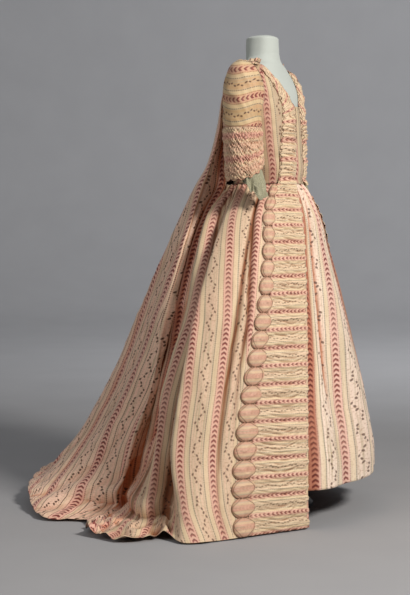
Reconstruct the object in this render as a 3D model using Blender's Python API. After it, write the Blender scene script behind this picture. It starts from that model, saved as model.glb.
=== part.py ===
"""A robe a la francaise standing on a limbless dress form.

Metres, +Z up. The wearer faces -Y and the wearer's right is -X. The origin is
the centre of the underside of the stand's base, on the floor. Every cloth
piece is an open shell of one wall thickness, built for the wearer's right and
mirrored across X = 0 for the left.
"""

import math
from collections import namedtuple

import bpy
import numpy as np

# --- driving dimensions -----------------------------------------------------
CLOTH = 0.0020            # wall of every cloth shell
GAP = 0.0003              # clearance left between neighbouring pieces
SEAM = 0.00025            # half of the clearance at a seam
TRIM_LIFT = 0.0012        # clearance under the trims that lie on a curved panel

RING_POWER = 2.2          # squareness of the torso's sections
BODICE_LIFT = 0.0030      # clearance between the form and the bodice
WAIST_LIFT = 0.0010       # the same at the waist, where the bodice is seated
WAIST_Z = 0.990           # lower edge of the bodice
UNDERARM_Z = 1.165
UNDERARM_ROW = 3          # row of the bodice tables that meets the underarm
SIDE_SEAM = 95.0          # degrees from the centre front
PANEL_SEAM = 0.09         # degrees that a panel stops short of its seam
STOMACHER_COLUMNS = 7

FORM_TOP = 1.436
FORM_COLUMNS = 24
FORM_EXTRA_RINGS = (0.945, 0.996, 1.010)
POLE_RADIUS = 0.0125
BASE_RADIUS = 0.150
BASE_HEIGHT = 0.022

LEFT_TURN = 32.0          # degrees the left front is drawn back at the hem
LEFT_FLARE = 0.05         # share that the drawn-back folds stand further out
LEFT_FLARE_WITHIN = 6.0   # degrees of turn over which they come to do so
LEFT_SLEEVE_BACK = 0.030  # how much further back the left sleeve hangs
ARMHOLE_X = 0.155         # at the armhole itself it stays on its seam
SHOULDER_Z = 1.375

SLEEVE_COLUMNS = 16
CUFF_TOP = 1.1462
CUFF_BOTTOM = 0.996       # lower edge at the back and outside of the arm
CUFF_RISE = 0.044         # how much higher it is at the front and inside
CUFF_LEAN = -0.010        # how far the cuff's end swings forward
CUFF_BANDS = 3            # rows of puffs round the cuff
CUFF_GATHERS = 7
CUFF_PUFF = 0.0060
CUFF_RIPPLE = 0.002
GAUZE_TOP = 1.050
GAUZE_BOTTOM = 1.008      # lower edge of the net at the back of the arm, inside the cuff
GAUZE_RISE = -0.064       # it hangs lower at the front
GAUZE_LEAN = -0.013
GAUZE_WAVES = 6
GAUZE_RIPPLE = 0.005

TRIM_GATHERS = 30         # gathers down the broad band beside the opening
TRIM_WAVE = 0.0045
PUFF_COUNT = 20           # puffs down the narrow strip beside the band
PUFF_HEIGHT = 0.0120
ROBING_HEIGHT = 0.0080
ROBING_GATHERS = 9
RUFFLE_WAVES = 10
RUFFLE_WIDTH = 0.018

PETTICOAT_FOLDS = 10
PETTICOAT_FOLD_DEPTH = 0.008
PETTICOAT_COLUMNS = 30
PETTICOAT_HEIGHTS = (0.985, 0.962, 0.94, 0.91, 0.865, 0.81, 0.735, 0.62, 0.46, 0.28, 0.105)

# --- tables -----------------------------------------------------------------
# Sections of the dress form: height, half width, depth to the front and back.
Section = namedtuple("Section", "z half_width front back")
FORM = [
    Section(0.840, 0.146, 0.108, 0.104),
    Section(0.900, 0.134, 0.109, 0.098),
    Section(0.985, 0.111, 0.108, 0.082),
    Section(1.030, 0.116, 0.111, 0.083),
    Section(1.080, 0.128, 0.108, 0.087),
    Section(1.150, 0.142, 0.104, 0.092),
    Section(1.210, 0.150, 0.098, 0.093),
    Section(1.260, 0.153, 0.087, 0.089),
    Section(1.300, 0.148, 0.068, 0.080),
    Section(1.325, 0.126, 0.055, 0.070),
    Section(1.342, 0.098, 0.049, 0.062),
    Section(1.354, 0.072, 0.043, 0.058),
    Section(1.370, 0.056, 0.040, 0.058),
    Section(1.400, 0.050, 0.038, 0.060),
    Section(1.424, 0.0485, 0.037, 0.059),
]

# Sections of the petticoat: height, half width, depth to the front and back,
# and how square the section is.
Hoop = namedtuple("Hoop", "z half_width front back power")
PETTICOAT = [
    Hoop(0.985, 0.1140, 0.1108, 0.0850, 2.2),
    Hoop(0.962, 0.1320, 0.1300, 0.0980, 2.1),
    Hoop(0.940, 0.1500, 0.1420, 0.1060, 2.1),
    Hoop(0.880, 0.1900, 0.1660, 0.1250, 2.2),
    Hoop(0.810, 0.2250, 0.1810, 0.1420, 2.2),
    Hoop(0.735, 0.2500, 0.1980, 0.1560, 2.3),
    Hoop(0.575, 0.2920, 0.2360, 0.1800, 2.4),
    Hoop(0.370, 0.3300, 0.2800, 0.2050, 2.6),
    Hoop(0.193, 0.3520, 0.3150, 0.2250, 2.6),
    Hoop(0.105, 0.3600, 0.3210, 0.2320, 2.6),
]

# Heights of the stations that the folds of the gown are given at.
NECK, BLADE, CHEST, RIB = 1.294, 1.240, 1.150, 1.050
WAIST, HIP, PANNIER, THIGH, KNEE, CALF, ANKLE = 0.982, 0.900, 0.780, 0.600, 0.400, 0.220, 0.090

# Folds of the gown's skirt and sack back on the wearer's right, from the front
# edge round to the centre back. Each row is one ridge or valley: its name, the
# number of cells to the next row, its share of the turn that draws the left
# side back, its plan point (x, y) at each station from the waist down, and its
# hem point (x, y, z).
Fold = namedtuple("Fold", "name cells turn waist hip pannier thigh knee calf ankle hem")
FOLDS = [
    Fold("front_edge", 2, 1.0, (-.046, -.119), (-.086, -.154), (-.118, -.178), (-.180, -.2085),
         (-.240, -.235), (-.275, -.250), (-.290, -.256), (-.284, -.258, .003)),
    Fold("band_edge", 2, .95, (-.098, -.083), (-.170, -.103), (-.225, -.125), (-.285, -.140),
         (-.345, -.138), (-.395, -.142), (-.425, -.149), (-.440, -.158, .003)),
    Fold("puff_edge", 2, .90, (-.111, -.066), (-.195, -.075), (-.255, -.097), (-.325, -.105),
         (-.400, -.096), (-.455, -.095), (-.490, -.105), (-.506, -.120, .003)),
    Fold("side_face", 2, .78, (-.124, -.016), (-.215, -.031), (-.290, -.041), (-.375, -.044),
         (-.450, -.034), (-.510, -.035), (-.545, -.061), (-.552, -.088, .003)),
    Fold("side_ridge", 2, .56, (-.121, .025), (-.210, .029), (-.300, .035), (-.400, .049),
         (-.480, .057), (-.535, .057), (-.580, .012), (-.615, -.022, .004)),
    Fold("side_valley", 2, .34, (-.116, .041), (-.182, .056), (-.250, .048), (-.336, .046),
         (-.400, .072), (-.445, .080), (-.500, .070), (-.600, .050, .014)),
    Fold("pleat_ridge", 2, .14, (-.106, .063), (-.190, .100), (-.255, .105), (-.330, .108),
         (-.400, .146), (-.470, .144), (-.535, .155), (-.672, .130, .004)),
    Fold("seam_valley", 2, 0, (-.100, .088), (-.140, .118), (-.172, .148), (-.213, .168),
         (-.268, .188), (-.325, .205), (-.430, .228), (-.655, .215, .016)),
    Fold("under_turn", 3, 0, (-.102, .118), (-.128, .148), (-.160, .182), (-.196, .213),
         (-.235, .240), (-.272, .272), (-.335, .285), (-.630, .275, .022)),
    Fold("pleat_edge", 3, 0, (-.163, .137), (-.180, .158), (-.215, .184), (-.262, .215),
         (-.310, .232), (-.338, .287), (-.370, .330), (-.585, .335, .004)),
    Fold("back_face", 3, 0, (-.117, .181), (-.130, .215), (-.155, .257), (-.185, .312),
         (-.215, .370), (-.248, .446), (-.335, .480), (-.505, .495, .004)),
    Fold("back_ridge", 2, 0, (-.059, .205), (-.068, .250), (-.078, .307), (-.090, .385),
         (-.102, .472), (-.130, .570), (-.205, .652), (-.300, .668, .045)),
    Fold("centre_back", 0, 0, (0, .195), (0, .244), (0, .308), (0, .389),
         (0, .480), (0, .588), (0, .705), (0, .800, .055)),
]
SEAM_FOLD = "seam_valley"

# The sack back above the waist: the same folds from the seam valley on.
Upper = namedtuple("Upper", "name neck blade chest rib")
SACK_UPPER = [
    Upper("seam_valley", (-.067, .0834), (-.097, .0870), (-.113, .0780), (-.115, .0860)),
    Upper("under_turn", (-.062, .0890), (-.086, .0945), (-.098, .0940), (-.103, .1080)),
    Upper("pleat_edge", (-.080, .0905), (-.113, .0935), (-.137, .0920), (-.152, .1120)),
    Upper("back_face", (-.058, .1020), (-.082, .1095), (-.098, .1200), (-.110, .1440)),
    Upper("back_ridge", (-.030, .1060), (-.040, .1150), (-.052, .1350), (-.056, .1620)),
    Upper("centre_back", (0, .0970), (0, .1045), (0, .1240), (0, .1520)),
]
SKIRT_ROWS = (2, 3, 3, 3, 3, 3, 3)    # cells between stations from the waist down
SACK_ROWS = (2, 2, 2, 2)              # cells between stations above the waist

# Sleeve rings: the outer and inner point (x, z), half depth and centre in y,
# and how far the ring's front and back are drawn in to the armhole.
Ring = namedtuple("Ring", "outer inner half_depth y drawn_in")
SLEEVE = [
    Ring((-.1553, 1.322), (-.1533, 1.170), .055, -.002, .014),
    Ring((-.1840, 1.343), (-.1570, 1.166), .060, -.004, .008),
    Ring((-.2130, 1.338), (-.1570, 1.163), .061, -.007, .003),
    Ring((-.2400, 1.308), (-.1565, 1.160), .059, -.010, .0),
    Ring((-.2550, 1.262), (-.1560, 1.157), .057, -.012, .0),
    Ring((-.2600, 1.205), (-.1555, 1.153), .056, -.013, .0),
    Ring((-.2605, 1.1465), (-.1555, 1.1465), .055, -.014, .0),
]

# Front edge, neckline and armhole of the bodice as (degrees, height) points
# that its rows start and end at, from the waist to the shoulder.
Row = namedtuple("Row", "inner outer")
FRONT_ROWS = [
    Row((21.0, WAIST_Z), (SIDE_SEAM, WAIST_Z)),
    Row((19.5, 1.060), (SIDE_SEAM, 1.050)),
    Row((18.5, 1.140), (SIDE_SEAM, 1.110)),
    Row((18.5, 1.215), (SIDE_SEAM, UNDERARM_Z)),
    Row((25.0, 1.262), (72.0, 1.195)),
    Row((34.0, 1.300), (66.0, 1.240)),
    Row((50.0, 1.330), (73.0, 1.285)),
    Row((90.0, 1.347), (90.0, 1.314)),
]
BACK_ROWS = [
    Row((180.0, WAIST_Z), (SIDE_SEAM, WAIST_Z)),
    Row((180.0, 1.075), (SIDE_SEAM, 1.050)),
    Row((180.0, 1.160), (SIDE_SEAM, 1.110)),
    Row((180.0, 1.235), (SIDE_SEAM, UNDERARM_Z)),
    Row((180.0, 1.306), (112.0, 1.195)),
    Row((160.0, 1.321), (116.0, 1.240)),
    Row((128.0, 1.334), (108.0, 1.285)),
    Row((90.0, 1.347), (90.0, 1.314)),
]

# Robing: the gathered band over the bodice's front edge, as the degrees of its
# inner and outer edge at each height.
Band = namedtuple("Band", "z inner outer")
ROBING = [
    Band(0.992, 15.0, 50.0),
    Band(1.080, 10.0, 43.0),
    Band(1.150, 7.0, 36.0),
    Band(1.210, 6.0, 32.0),
    Band(1.262, 18.0, 38.0),
    Band(1.300, 30.0, 47.0),
    Band(1.326, 43.0, 62.0),
]

# Neck ruffle: the neckline it stands on, from the centre back to the front.
NECKLINE = [(180.0, 1.308), (160.0, 1.317), (128.0, 1.333), (90.0, 1.346), (68.0, 1.341)]

Look = namedtuple("Look", "color roughness")
SILK = Look((0.86, 0.70, 0.56), 0.62)
TRIM_SILK = Look((0.84, 0.64, 0.50), 0.62)
GAUZE = Look((0.60, 0.58, 0.50), 0.80)
FORM_CLOTH = Look((0.86, 0.88, 0.85), 0.85)
STAND_METAL = Look((0.30, 0.30, 0.31), 0.40)


# --- mesh helpers -----------------------------------------------------------
def clear_scene():
    for obj in list(bpy.data.objects):
        bpy.data.objects.remove(obj, do_unlink=True)


def material(name, look):
    made = bpy.data.materials.new(name)
    made.use_nodes = True
    shader = made.node_tree.nodes["Principled BSDF"]
    shader.inputs["Base Color"].default_value = (*look.color, 1.0)
    shader.inputs["Roughness"].default_value = look.roughness
    return made


def add_object(name, points, faces, look):
    mesh = bpy.data.meshes.new(name)
    mesh.from_pydata([tuple(map(float, p)) for p in points], [], [tuple(map(int, f)) for f in faces])
    mesh.polygons.foreach_set("use_smooth", [True] * len(mesh.polygons))
    mesh.materials.append(material(name, look))
    mesh.update()
    obj = bpy.data.objects.new(name, mesh)
    bpy.context.scene.collection.objects.link(obj)
    return obj


def hermite(knots, values, at):
    """Smooth curve through values at the knots, read at the numbers in at."""
    knots = np.asarray(knots, float)
    values = np.asarray(values, float)
    at = np.asarray(at, float)
    slopes = np.empty_like(values)
    spans = np.diff(knots)
    shape = (-1,) + (1,) * (values.ndim - 1)
    slopes[1:-1] = (values[2:] - values[:-2]) / (knots[2:] - knots[:-2]).reshape(shape)
    slopes[0] = (values[1] - values[0]) / spans[0]
    slopes[-1] = (values[-1] - values[-2]) / spans[-1]
    low = np.clip(np.searchsorted(knots, at, side="right") - 1, 0, len(knots) - 2)
    span = spans[low].reshape(shape)
    t = ((at - knots[low]) / spans[low]).reshape(shape)
    return (
        (1 + 2 * t) * (1 - t) ** 2 * values[low]
        + t * (1 - t) ** 2 * span * slopes[low]
        + t * t * (3 - 2 * t) * values[low + 1]
        + t * t * (t - 1) * span * slopes[low + 1]
    )


def steps(cells):
    """Positions along a chain of spans, each cut into the given number of cells."""
    found = [0.0]
    for span, count in enumerate(cells):
        found += [span + (k + 1) / count for k in range(count)]
    return np.array(found)


def unit(vectors):
    return vectors / np.maximum(np.linalg.norm(vectors, axis=-1, keepdims=True), 1e-12)


def grid_normals(grid, closed=False):
    """Normal of each grid point: across the columns crossed with down the rows."""
    if closed:
        across = np.roll(grid, -1, axis=1) - np.roll(grid, 1, axis=1)
    else:
        across = np.gradient(grid, axis=1)
    down = np.gradient(grid, axis=0)
    return unit(np.cross(across, down))


def shell(outer, inner, closed=False):
    """Points and triangles of the wall between two grids of the same size."""
    rows, columns = outer.shape[:2]
    index = np.arange(rows * columns).reshape(rows, columns)
    count = rows * columns
    faces = []
    for i in range(rows - 1):
        for j in range(columns if closed else columns - 1):
            k = (j + 1) % columns
            a, b, c, d = index[i, j], index[i, k], index[i + 1, k], index[i + 1, j]
            faces += [(a, c, b), (a, d, c)]
            a, b, c, d = a + count, b + count, c + count, d + count
            faces += [(a, b, c), (a, c, d)]
    for j in range(columns if closed else columns - 1):
        k = (j + 1) % columns
        a, b = index[0, j], index[0, k]
        faces += [(a, b, b + count), (a, b + count, a + count)]
        a, b = index[-1, k], index[-1, j]
        faces += [(a, b, b + count), (a, b + count, a + count)]
    if not closed:
        for i in range(rows - 1):
            a, b = index[i + 1, 0], index[i, 0]
            faces += [(a, b, b + count), (a, b + count, a + count)]
            a, b = index[i, -1], index[i + 1, -1]
            faces += [(a, b, b + count), (a, b + count, a + count)]
    points = np.concatenate([outer.reshape(-1, 3), inner.reshape(-1, 3)])
    corners = points[np.array(faces)]
    if np.linalg.det(corners).sum() < 0:
        faces = [f[::-1] for f in faces]
    return points, faces


def add_side(name, side_name, points, faces, look):
    """A piece shaped for the right, mirrored across X = 0 for the left."""
    if side_name == "left":
        points = points * np.array([-1.0, 1.0, 1.0])
        faces = [f[::-1] for f in faces]
    add_object(name + "_" + side_name, points, faces, look)


def mirror_pair(name, points, faces, look):
    add_side(name, "right", points, faces, look)
    add_side(name, "left", points, faces, look)


def hung_back(points):
    """The left arm's points: moved back away from the armhole, and all below the underarm."""
    outward = np.clip((np.abs(points[:, 0]) - ARMHOLE_X) / 0.030, 0.0, 1.0)
    outward *= np.clip((SHOULDER_Z - points[:, 2]) / 0.080, 0.0, 1.0)
    below = np.clip((UNDERARM_Z - points[:, 2]) / 0.110, 0.0, 1.0)
    moved = points.copy()
    moved[:, 1] += LEFT_SLEEVE_BACK * np.maximum(outward, below)
    return moved


def sleeve_pair(name, points, faces, look):
    """A sleeve piece on both sides; the left one hangs a little further back."""
    add_side(name, "right", points, faces, look)
    add_side(name, "left", hung_back(points), faces, look)


def lathe(profile, columns):
    """Closed solid from (radius, z) pairs; the first and last end on the axis."""
    angles = np.arange(columns) * 2 * math.pi / columns
    points = []
    for radius, z in profile:
        points += [(radius * math.cos(a), radius * math.sin(a), z) for a in angles]
    faces = []
    for i in range(len(profile) - 1):
        for j in range(columns):
            k = (j + 1) % columns
            a, b = i * columns + j, i * columns + k
            faces.append((a, b, b + columns, a + columns))
    faces.append(tuple(range(columns))[::-1])
    faces.append(tuple(range((len(profile) - 1) * columns, len(profile) * columns)))
    return points, faces


# --- torso ------------------------------------------------------------------
def torso(degrees, z, lift):
    """Point on the torso's surface, moved out by lift."""
    degrees, z = np.broadcast_arrays(np.asarray(degrees, float), np.asarray(z, float))
    sizes = hermite([s.z for s in FORM], [s[1:] for s in FORM], z.reshape(-1)).reshape(z.shape + (3,))
    angle = np.radians(degrees)
    across, along = np.sin(angle), np.cos(angle)
    power = 2.0 / RING_POWER
    depth = np.where(along > 0, sizes[..., 1], sizes[..., 2]) + lift
    x = -(sizes[..., 0] + lift) * np.sign(across) * np.abs(across) ** power
    y = -depth * np.sign(along) * np.abs(along) ** power
    return np.stack([x, y, z + 0.4 * lift], axis=-1)


def bodice_lift(z):
    """The bodice's clearance from the form: close at the waist, easy above."""
    return BODICE_LIFT - (BODICE_LIFT - WAIST_LIFT) * np.clip((1.03 - z) / 0.04, 0.0, 1.0)


def build_form():
    angles = np.arange(FORM_COLUMNS) * 360.0 / FORM_COLUMNS
    heights = sorted([s.z for s in FORM] + list(FORM_EXTRA_RINGS))
    rings = [torso(angles, np.full(FORM_COLUMNS, z), 0.0) for z in heights]
    for share, z in ((0.82, FORM_TOP - 0.004), (0.45, FORM_TOP)):
        ring = torso(angles, np.full(FORM_COLUMNS, heights[-1]), 0.0)
        ring[:, :2] *= share
        ring[:, 2] = z
        rings.append(ring)
    points = np.concatenate(rings)
    faces = []
    for i in range(len(rings) - 1):
        for j in range(FORM_COLUMNS):
            k = (j + 1) % FORM_COLUMNS
            a, b = i * FORM_COLUMNS + j, i * FORM_COLUMNS + k
            faces.append((a, a + FORM_COLUMNS, b + FORM_COLUMNS, b))
    faces.append(tuple(range(FORM_COLUMNS)))
    last = (len(rings) - 1) * FORM_COLUMNS
    faces.append(tuple(range(last, last + FORM_COLUMNS))[::-1])
    add_object("form_torso", points, faces, FORM_CLOTH)
    bottom = FORM[0].z - GAP
    pole = [(POLE_RADIUS, BASE_HEIGHT + GAP), (POLE_RADIUS, bottom)]
    add_object("stand_pole", *lathe(pole, 16), STAND_METAL)
    rim = BASE_HEIGHT * 0.4
    profile = [(BASE_RADIUS, 0.0), (BASE_RADIUS, rim), (BASE_RADIUS - 0.012, BASE_HEIGHT - 0.004)]
    profile += [(0.03, BASE_HEIGHT)]
    add_object("stand_base", *lathe(profile, 32), STAND_METAL)


# --- bodice -----------------------------------------------------------------
def bodice_panel(rows, columns, row_cells, side_shift, inner_shift):
    """A panel's outer and inner grid; its side seam is straight up to the underarm."""
    at = steps([row_cells] * (len(rows) - 1))
    knots = np.arange(len(rows))
    start = hermite(knots, [r.inner for r in rows], at)
    end = hermite(knots, [r.outer for r in rows], at)
    end[: UNDERARM_ROW * row_cells + 1, 0] = SIDE_SEAM
    start[:, 0] = np.minimum(start[:, 0], 180.0) + inner_shift
    end[:, 0] += side_shift
    start[-1, 0] += side_shift
    across = np.linspace(0, 1, columns)[None, :, None]
    path = start[:, None, :] * (1 - across) + end[:, None, :] * across
    lift = bodice_lift(path[..., 1])
    inner = torso(path[..., 0], path[..., 1], lift)
    outer = torso(path[..., 0], path[..., 1], lift + CLOTH)
    return outer, inner


def build_bodice():
    turn = PANEL_SEAM
    outer, inner = bodice_panel(FRONT_ROWS, 9, 2, -turn, turn)
    points, faces = shell(outer, inner)
    mirror_pair("bodice_front", points, faces, SILK)
    outer, inner = bodice_panel(BACK_ROWS, 8, 2, turn, -turn)
    points, faces = shell(outer, inner)
    mirror_pair("bodice_back", points, faces, SILK)
    at = steps([2] * UNDERARM_ROW)
    edge = hermite(np.arange(len(FRONT_ROWS)), [r.inner for r in FRONT_ROWS], at)
    across = np.linspace(-1, 1, STOMACHER_COLUMNS)
    degrees = (edge[:, :1] - turn) * across[None, :]
    z = np.repeat(edge[:, 1:], STOMACHER_COLUMNS, axis=1)
    outer = torso(degrees, z, bodice_lift(z) + CLOTH)
    inner = torso(degrees, z, bodice_lift(z))
    add_object("stomacher", *shell(outer, inner), SILK)


def build_robing():
    """A padded band whose gathers slant down and outwards."""
    knots = [b.z for b in ROBING]
    rows = 2 * ROBING_GATHERS + 1
    z = np.linspace(knots[0], knots[-1], rows)
    edges = hermite(knots, [b[1:] for b in ROBING], z)
    across = np.array([0.0, 0.3, 0.7, 1.0])
    arch = np.array([0.0, 1.0, 1.0, 0.0])
    degrees = edges[:, :1] * (1 - across) + edges[:, 1:] * across
    slant = np.arange(rows)[:, None] / 2.0 + 0.35 * across[None, :]
    wave = 0.80 + 0.20 * np.cos(2 * math.pi * slant)
    ends = np.minimum(1.0, np.minimum(np.arange(rows), np.arange(rows)[::-1]) / 2.0 + 0.45)
    base = bodice_lift(z)[:, None] + CLOTH + 4 * GAP
    lift = base + ROBING_HEIGHT * arch[None, :] * wave * ends[:, None]
    heights = np.repeat(z[:, None], 4, axis=1)
    inner = torso(degrees, heights, lift)
    outer = torso(degrees, heights, lift + CLOTH)
    points, faces = shell(outer, inner)
    mirror_pair("robing", points, faces, TRIM_SILK)


def build_neck_ruffle():
    rows = 2 * RUFFLE_WAVES + 1
    at = np.linspace(0, len(NECKLINE) - 1, rows)
    path = hermite(np.arange(len(NECKLINE)), NECKLINE, at)
    wave = 0.5 + 0.5 * np.cos(math.pi * np.arange(rows))
    base = BODICE_LIFT + CLOTH + GAP
    rings = []
    for share, lift in ((-0.5, 0.004), (0.0, 0.0), (0.5, 0.004)):
        z = path[:, 1] + RUFFLE_WIDTH * share
        out = base + lift + 0.005 * wave * abs(share) * 2
        rings.append((path[:, 0], z, out))
    inner = np.stack([torso(d, z, out) for d, z, out in rings], axis=1)
    outer = np.stack([torso(d, z, out + CLOTH) for d, z, out in rings], axis=1)
    for grid in (inner, outer):
        grid[0, :, 0] = -SEAM
    points, faces = shell(outer, inner)
    mirror_pair("neck_ruffle", points, faces, TRIM_SILK)


# --- sleeves ----------------------------------------------------------------
def ellipse_ring(ring, columns, shrink):
    """Ring of points from its top round by the front, the inside and the back."""
    turn = np.arange(columns) * 2 * math.pi / columns
    (ox, oz), (ix, iz) = ring.outer, ring.inner
    centre = np.array([(ox + ix) / 2, ring.y, (oz + iz) / 2])
    half = np.array([(ox - ix) / 2, 0.0, (oz - iz) / 2])
    length = np.linalg.norm(half)
    half = half * (length - shrink) / length
    depth = np.array([0.0, -(ring.half_depth - shrink), 0.0])
    points = centre + np.cos(turn)[:, None] * half + np.sin(turn)[:, None] * depth
    points[:, 0] += ring.drawn_in * np.sin(turn) ** 2
    return points


def build_sleeves():
    outer = np.array([ellipse_ring(r, SLEEVE_COLUMNS, 0.0) for r in SLEEVE])
    inner = np.array([ellipse_ring(r, SLEEVE_COLUMNS, CLOTH) for r in SLEEVE])
    points, faces = shell(outer, inner, closed=True)
    sleeve_pair("sleeve", points, faces, SILK)


def cuff_grid(shrink, top, bottom, gathers, bands, puff, ripple, centre, radius, rise, power):
    """Rings down an open cuff: bands of puffs, a rippled edge and a sloping hem."""
    columns = 3 * gathers
    rows = 2 * bands + 1
    turn = np.arange(columns) * 2 * math.pi / columns
    share = np.linspace(0, 1, rows)[:, None]
    swell = puff * np.abs(np.sin(math.pi * bands * share)) * (0.75 + 0.25 * np.cos(gathers * turn))
    swell = swell + ripple * np.cos(gathers * turn) * share * share
    reach_x = radius[0] + swell - shrink
    reach_y = radius[1] + swell - shrink
    x = centre[0] + reach_x * np.cos(turn + math.pi)
    forward = 0.5 + 0.5 * np.sin(turn - math.pi / 4)
    low = bottom + rise * forward ** power
    z = top * (1 - share) + low * share
    fall = (top - z) / (top - low.min())
    y = centre[1] + centre[2] * fall + reach_y * np.sin(turn + math.pi)
    grid = np.stack(np.broadcast_arrays(x, y, z), axis=-1)
    return grid


def build_cuffs():
    size = ((SLEEVE[-1].inner[0] - SLEEVE[-1].outer[0]) / 2, SLEEVE[-1].half_depth)
    middle = ((SLEEVE[-1].inner[0] + SLEEVE[-1].outer[0]) / 2, SLEEVE[-1].y, CUFF_LEAN)
    shape = (CUFF_TOP, CUFF_BOTTOM, CUFF_GATHERS, CUFF_BANDS, CUFF_PUFF, CUFF_RIPPLE, middle, size)
    shape += (CUFF_RISE, 2)
    outer = cuff_grid(0.0, *shape)
    inner = cuff_grid(CLOTH, *shape)
    points, faces = shell(outer, inner, closed=True)
    sleeve_pair("sleeve_cuff", points, faces, TRIM_SILK)
    size = (size[0] - CLOTH - 0.0090, size[1] - CLOTH - 0.0040)
    middle = (middle[0] - 0.0032, middle[1] - 0.0070, GAUZE_LEAN)
    shape = (GAUZE_TOP, GAUZE_BOTTOM, GAUZE_WAVES, 1, 0.0, GAUZE_RIPPLE, middle, size)
    shape += (GAUZE_RISE, 1)
    outer = cuff_grid(0.0, *shape)
    inner = cuff_grid(CLOTH, *shape)
    points, faces = shell(outer, inner, closed=True)
    sleeve_pair("sleeve_gauze", points, faces, GAUZE)


# --- petticoat --------------------------------------------------------------
def build_petticoat():
    angles = np.arange(PETTICOAT_COLUMNS) * 2 * math.pi / PETTICOAT_COLUMNS
    knots = [-h.z for h in PETTICOAT]
    z = np.array(PETTICOAT_HEIGHTS)
    sizes = hermite(knots, [h[1:] for h in PETTICOAT], -z)
    swing = np.clip((0.96 - z) / 0.5, 0, 1)[:, None]
    fold = PETTICOAT_FOLD_DEPTH * swing * np.cos(PETTICOAT_FOLDS * angles + 0.6 * swing)
    power = 2.0 / sizes[:, 3:4]
    across, along = np.sin(angles), np.cos(angles)

    def ring(shrink):
        depth = np.where(along > 0, sizes[:, 1:2], sizes[:, 2:3]) + fold - shrink
        x = -(sizes[:, 0:1] + fold - shrink) * np.sign(across) * np.abs(across) ** power
        y = -depth * np.sign(along) * np.abs(along) ** power
        return np.stack([x, y, np.repeat(z[:, None], len(angles), axis=1)], axis=-1)

    points, faces = shell(ring(0.0), ring(CLOTH), closed=True)
    add_object("petticoat", points, faces, SILK)


# --- gown skirt and sack back -----------------------------------------------
def station_points(turn):
    """Array [fold, station, 3] from the waist down, and one above the waist.

    The folds from the front edge on are drawn back round the body by up to
    turn degrees at the hem.
    """
    heights = (WAIST, HIP, PANNIER, THIGH, KNEE, CALF, ANKLE)
    lower = []
    for fold in FOLDS:
        lower.append([(x, y, z) for (x, y), z in zip(fold[3:10], heights)] + [fold.hem])
    upper = []
    for fold in SACK_UPPER:
        upper.append([(x, y, z) for (x, y), z in zip(fold[1:], (NECK, BLADE, CHEST, RIB))])
    lower = np.array(lower)
    share = np.array([fold.turn for fold in FOLDS])[:, None]
    drop = np.clip((WAIST - lower[:, :, 2]) / WAIST, 0.0, 1.0) ** 0.85
    angle = np.radians(turn * share * drop)
    grow = 1.0 + LEFT_FLARE * (1.0 - np.exp(-angle / math.radians(LEFT_FLARE_WITHIN)))
    x = grow * (lower[:, :, 0] * np.cos(angle) + lower[:, :, 1] * np.sin(angle))
    y = grow * (lower[:, :, 1] * np.cos(angle) - lower[:, :, 0] * np.sin(angle))
    lower[:, :, 0], lower[:, :, 1] = x, y
    return lower, np.array(upper)


def across_folds(points, cells):
    """Smooth section through one row of fold points, cut into cells."""
    chord = np.linalg.norm(np.diff(points, axis=0), axis=1) ** 0.5
    knots = np.concatenate([[0.0], np.cumsum(chord)])
    place = steps(cells)
    at = np.interp(place, np.arange(len(knots)), knots)
    return hermite(knots, points, at)


def down_stations(points, cells):
    """Smooth curves down every fold, as an array [row, fold, 3]."""
    chord = np.linalg.norm(np.diff(points, axis=1), axis=2).mean(axis=0)
    knots = np.concatenate([[0.0], np.cumsum(chord)])
    place = steps(cells)
    at = np.interp(place, np.arange(len(knots)), knots)
    return hermite(knots, points.transpose(1, 0, 2), at)


def gown_grids(turn):
    """The gown's outer grid from front edge to centre back, and the sack's own."""
    lower, upper = station_points(turn)
    names = [f.name for f in FOLDS]
    split = names.index(SEAM_FOLD)
    sack_points = np.concatenate([upper, lower[split:]], axis=1)
    sack_rows = down_stations(sack_points, SACK_ROWS + SKIRT_ROWS)
    above = sum(SACK_ROWS)
    side_rows = down_stations(lower[: split + 1], SKIRT_ROWS)
    side_rows[:, -1] = sack_rows[above:, 0]
    cells = [f.cells for f in FOLDS]
    whole = np.array([
        across_folds(np.concatenate([side_rows[i], sack_rows[above + i][1:]]), cells[:-1])
        for i in range(len(side_rows))
    ])
    column = sum(cells[:split])
    top = np.array([across_folds(sack_rows[i], cells[split:-1]) for i in range(above)])
    sack = np.concatenate([top, whole[:, column:]])
    return whole, sack, column, above


def gown_shapes(turn):
    whole, sack, column, above = gown_grids(turn)
    normal = grid_normals(whole)
    sack_normal = grid_normals(sack)
    sack_normal[above + 1:] = normal[1:, column:]
    sack_normal[:, -1, 0] = 0.0
    sack_normal = unit(sack_normal)
    side = whole[:, : column + 1].copy()
    side_normal = normal[:, : column + 1]
    down = np.gradient(whole[:, column], axis=0)
    toward = unit(np.cross(normal[:, column], down))
    toward *= np.sign(np.sum(toward * (whole[:, column - 1] - whole[:, column]), axis=1))[:, None]
    side[:, -1] += toward * SEAM
    sack = sack.copy()
    sack[above:, 0] -= toward * SEAM
    sack[:, -1, 0] = -SEAM
    return side, side_normal, sack, sack_normal


def strip_rows(panel_rows, count, per_wave):
    """Row positions of a trim: its own, and every row of the panel under it."""
    fine = np.linspace(0, panel_rows - 1, count * per_wave + 1)
    whole = np.arange(panel_rows, dtype=float)
    near = np.abs(fine[:, None] - whole[None, :]).min(axis=1) < 0.12
    near[0] = near[-1] = True
    return np.unique(np.concatenate([fine[~near], whole]))


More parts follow.
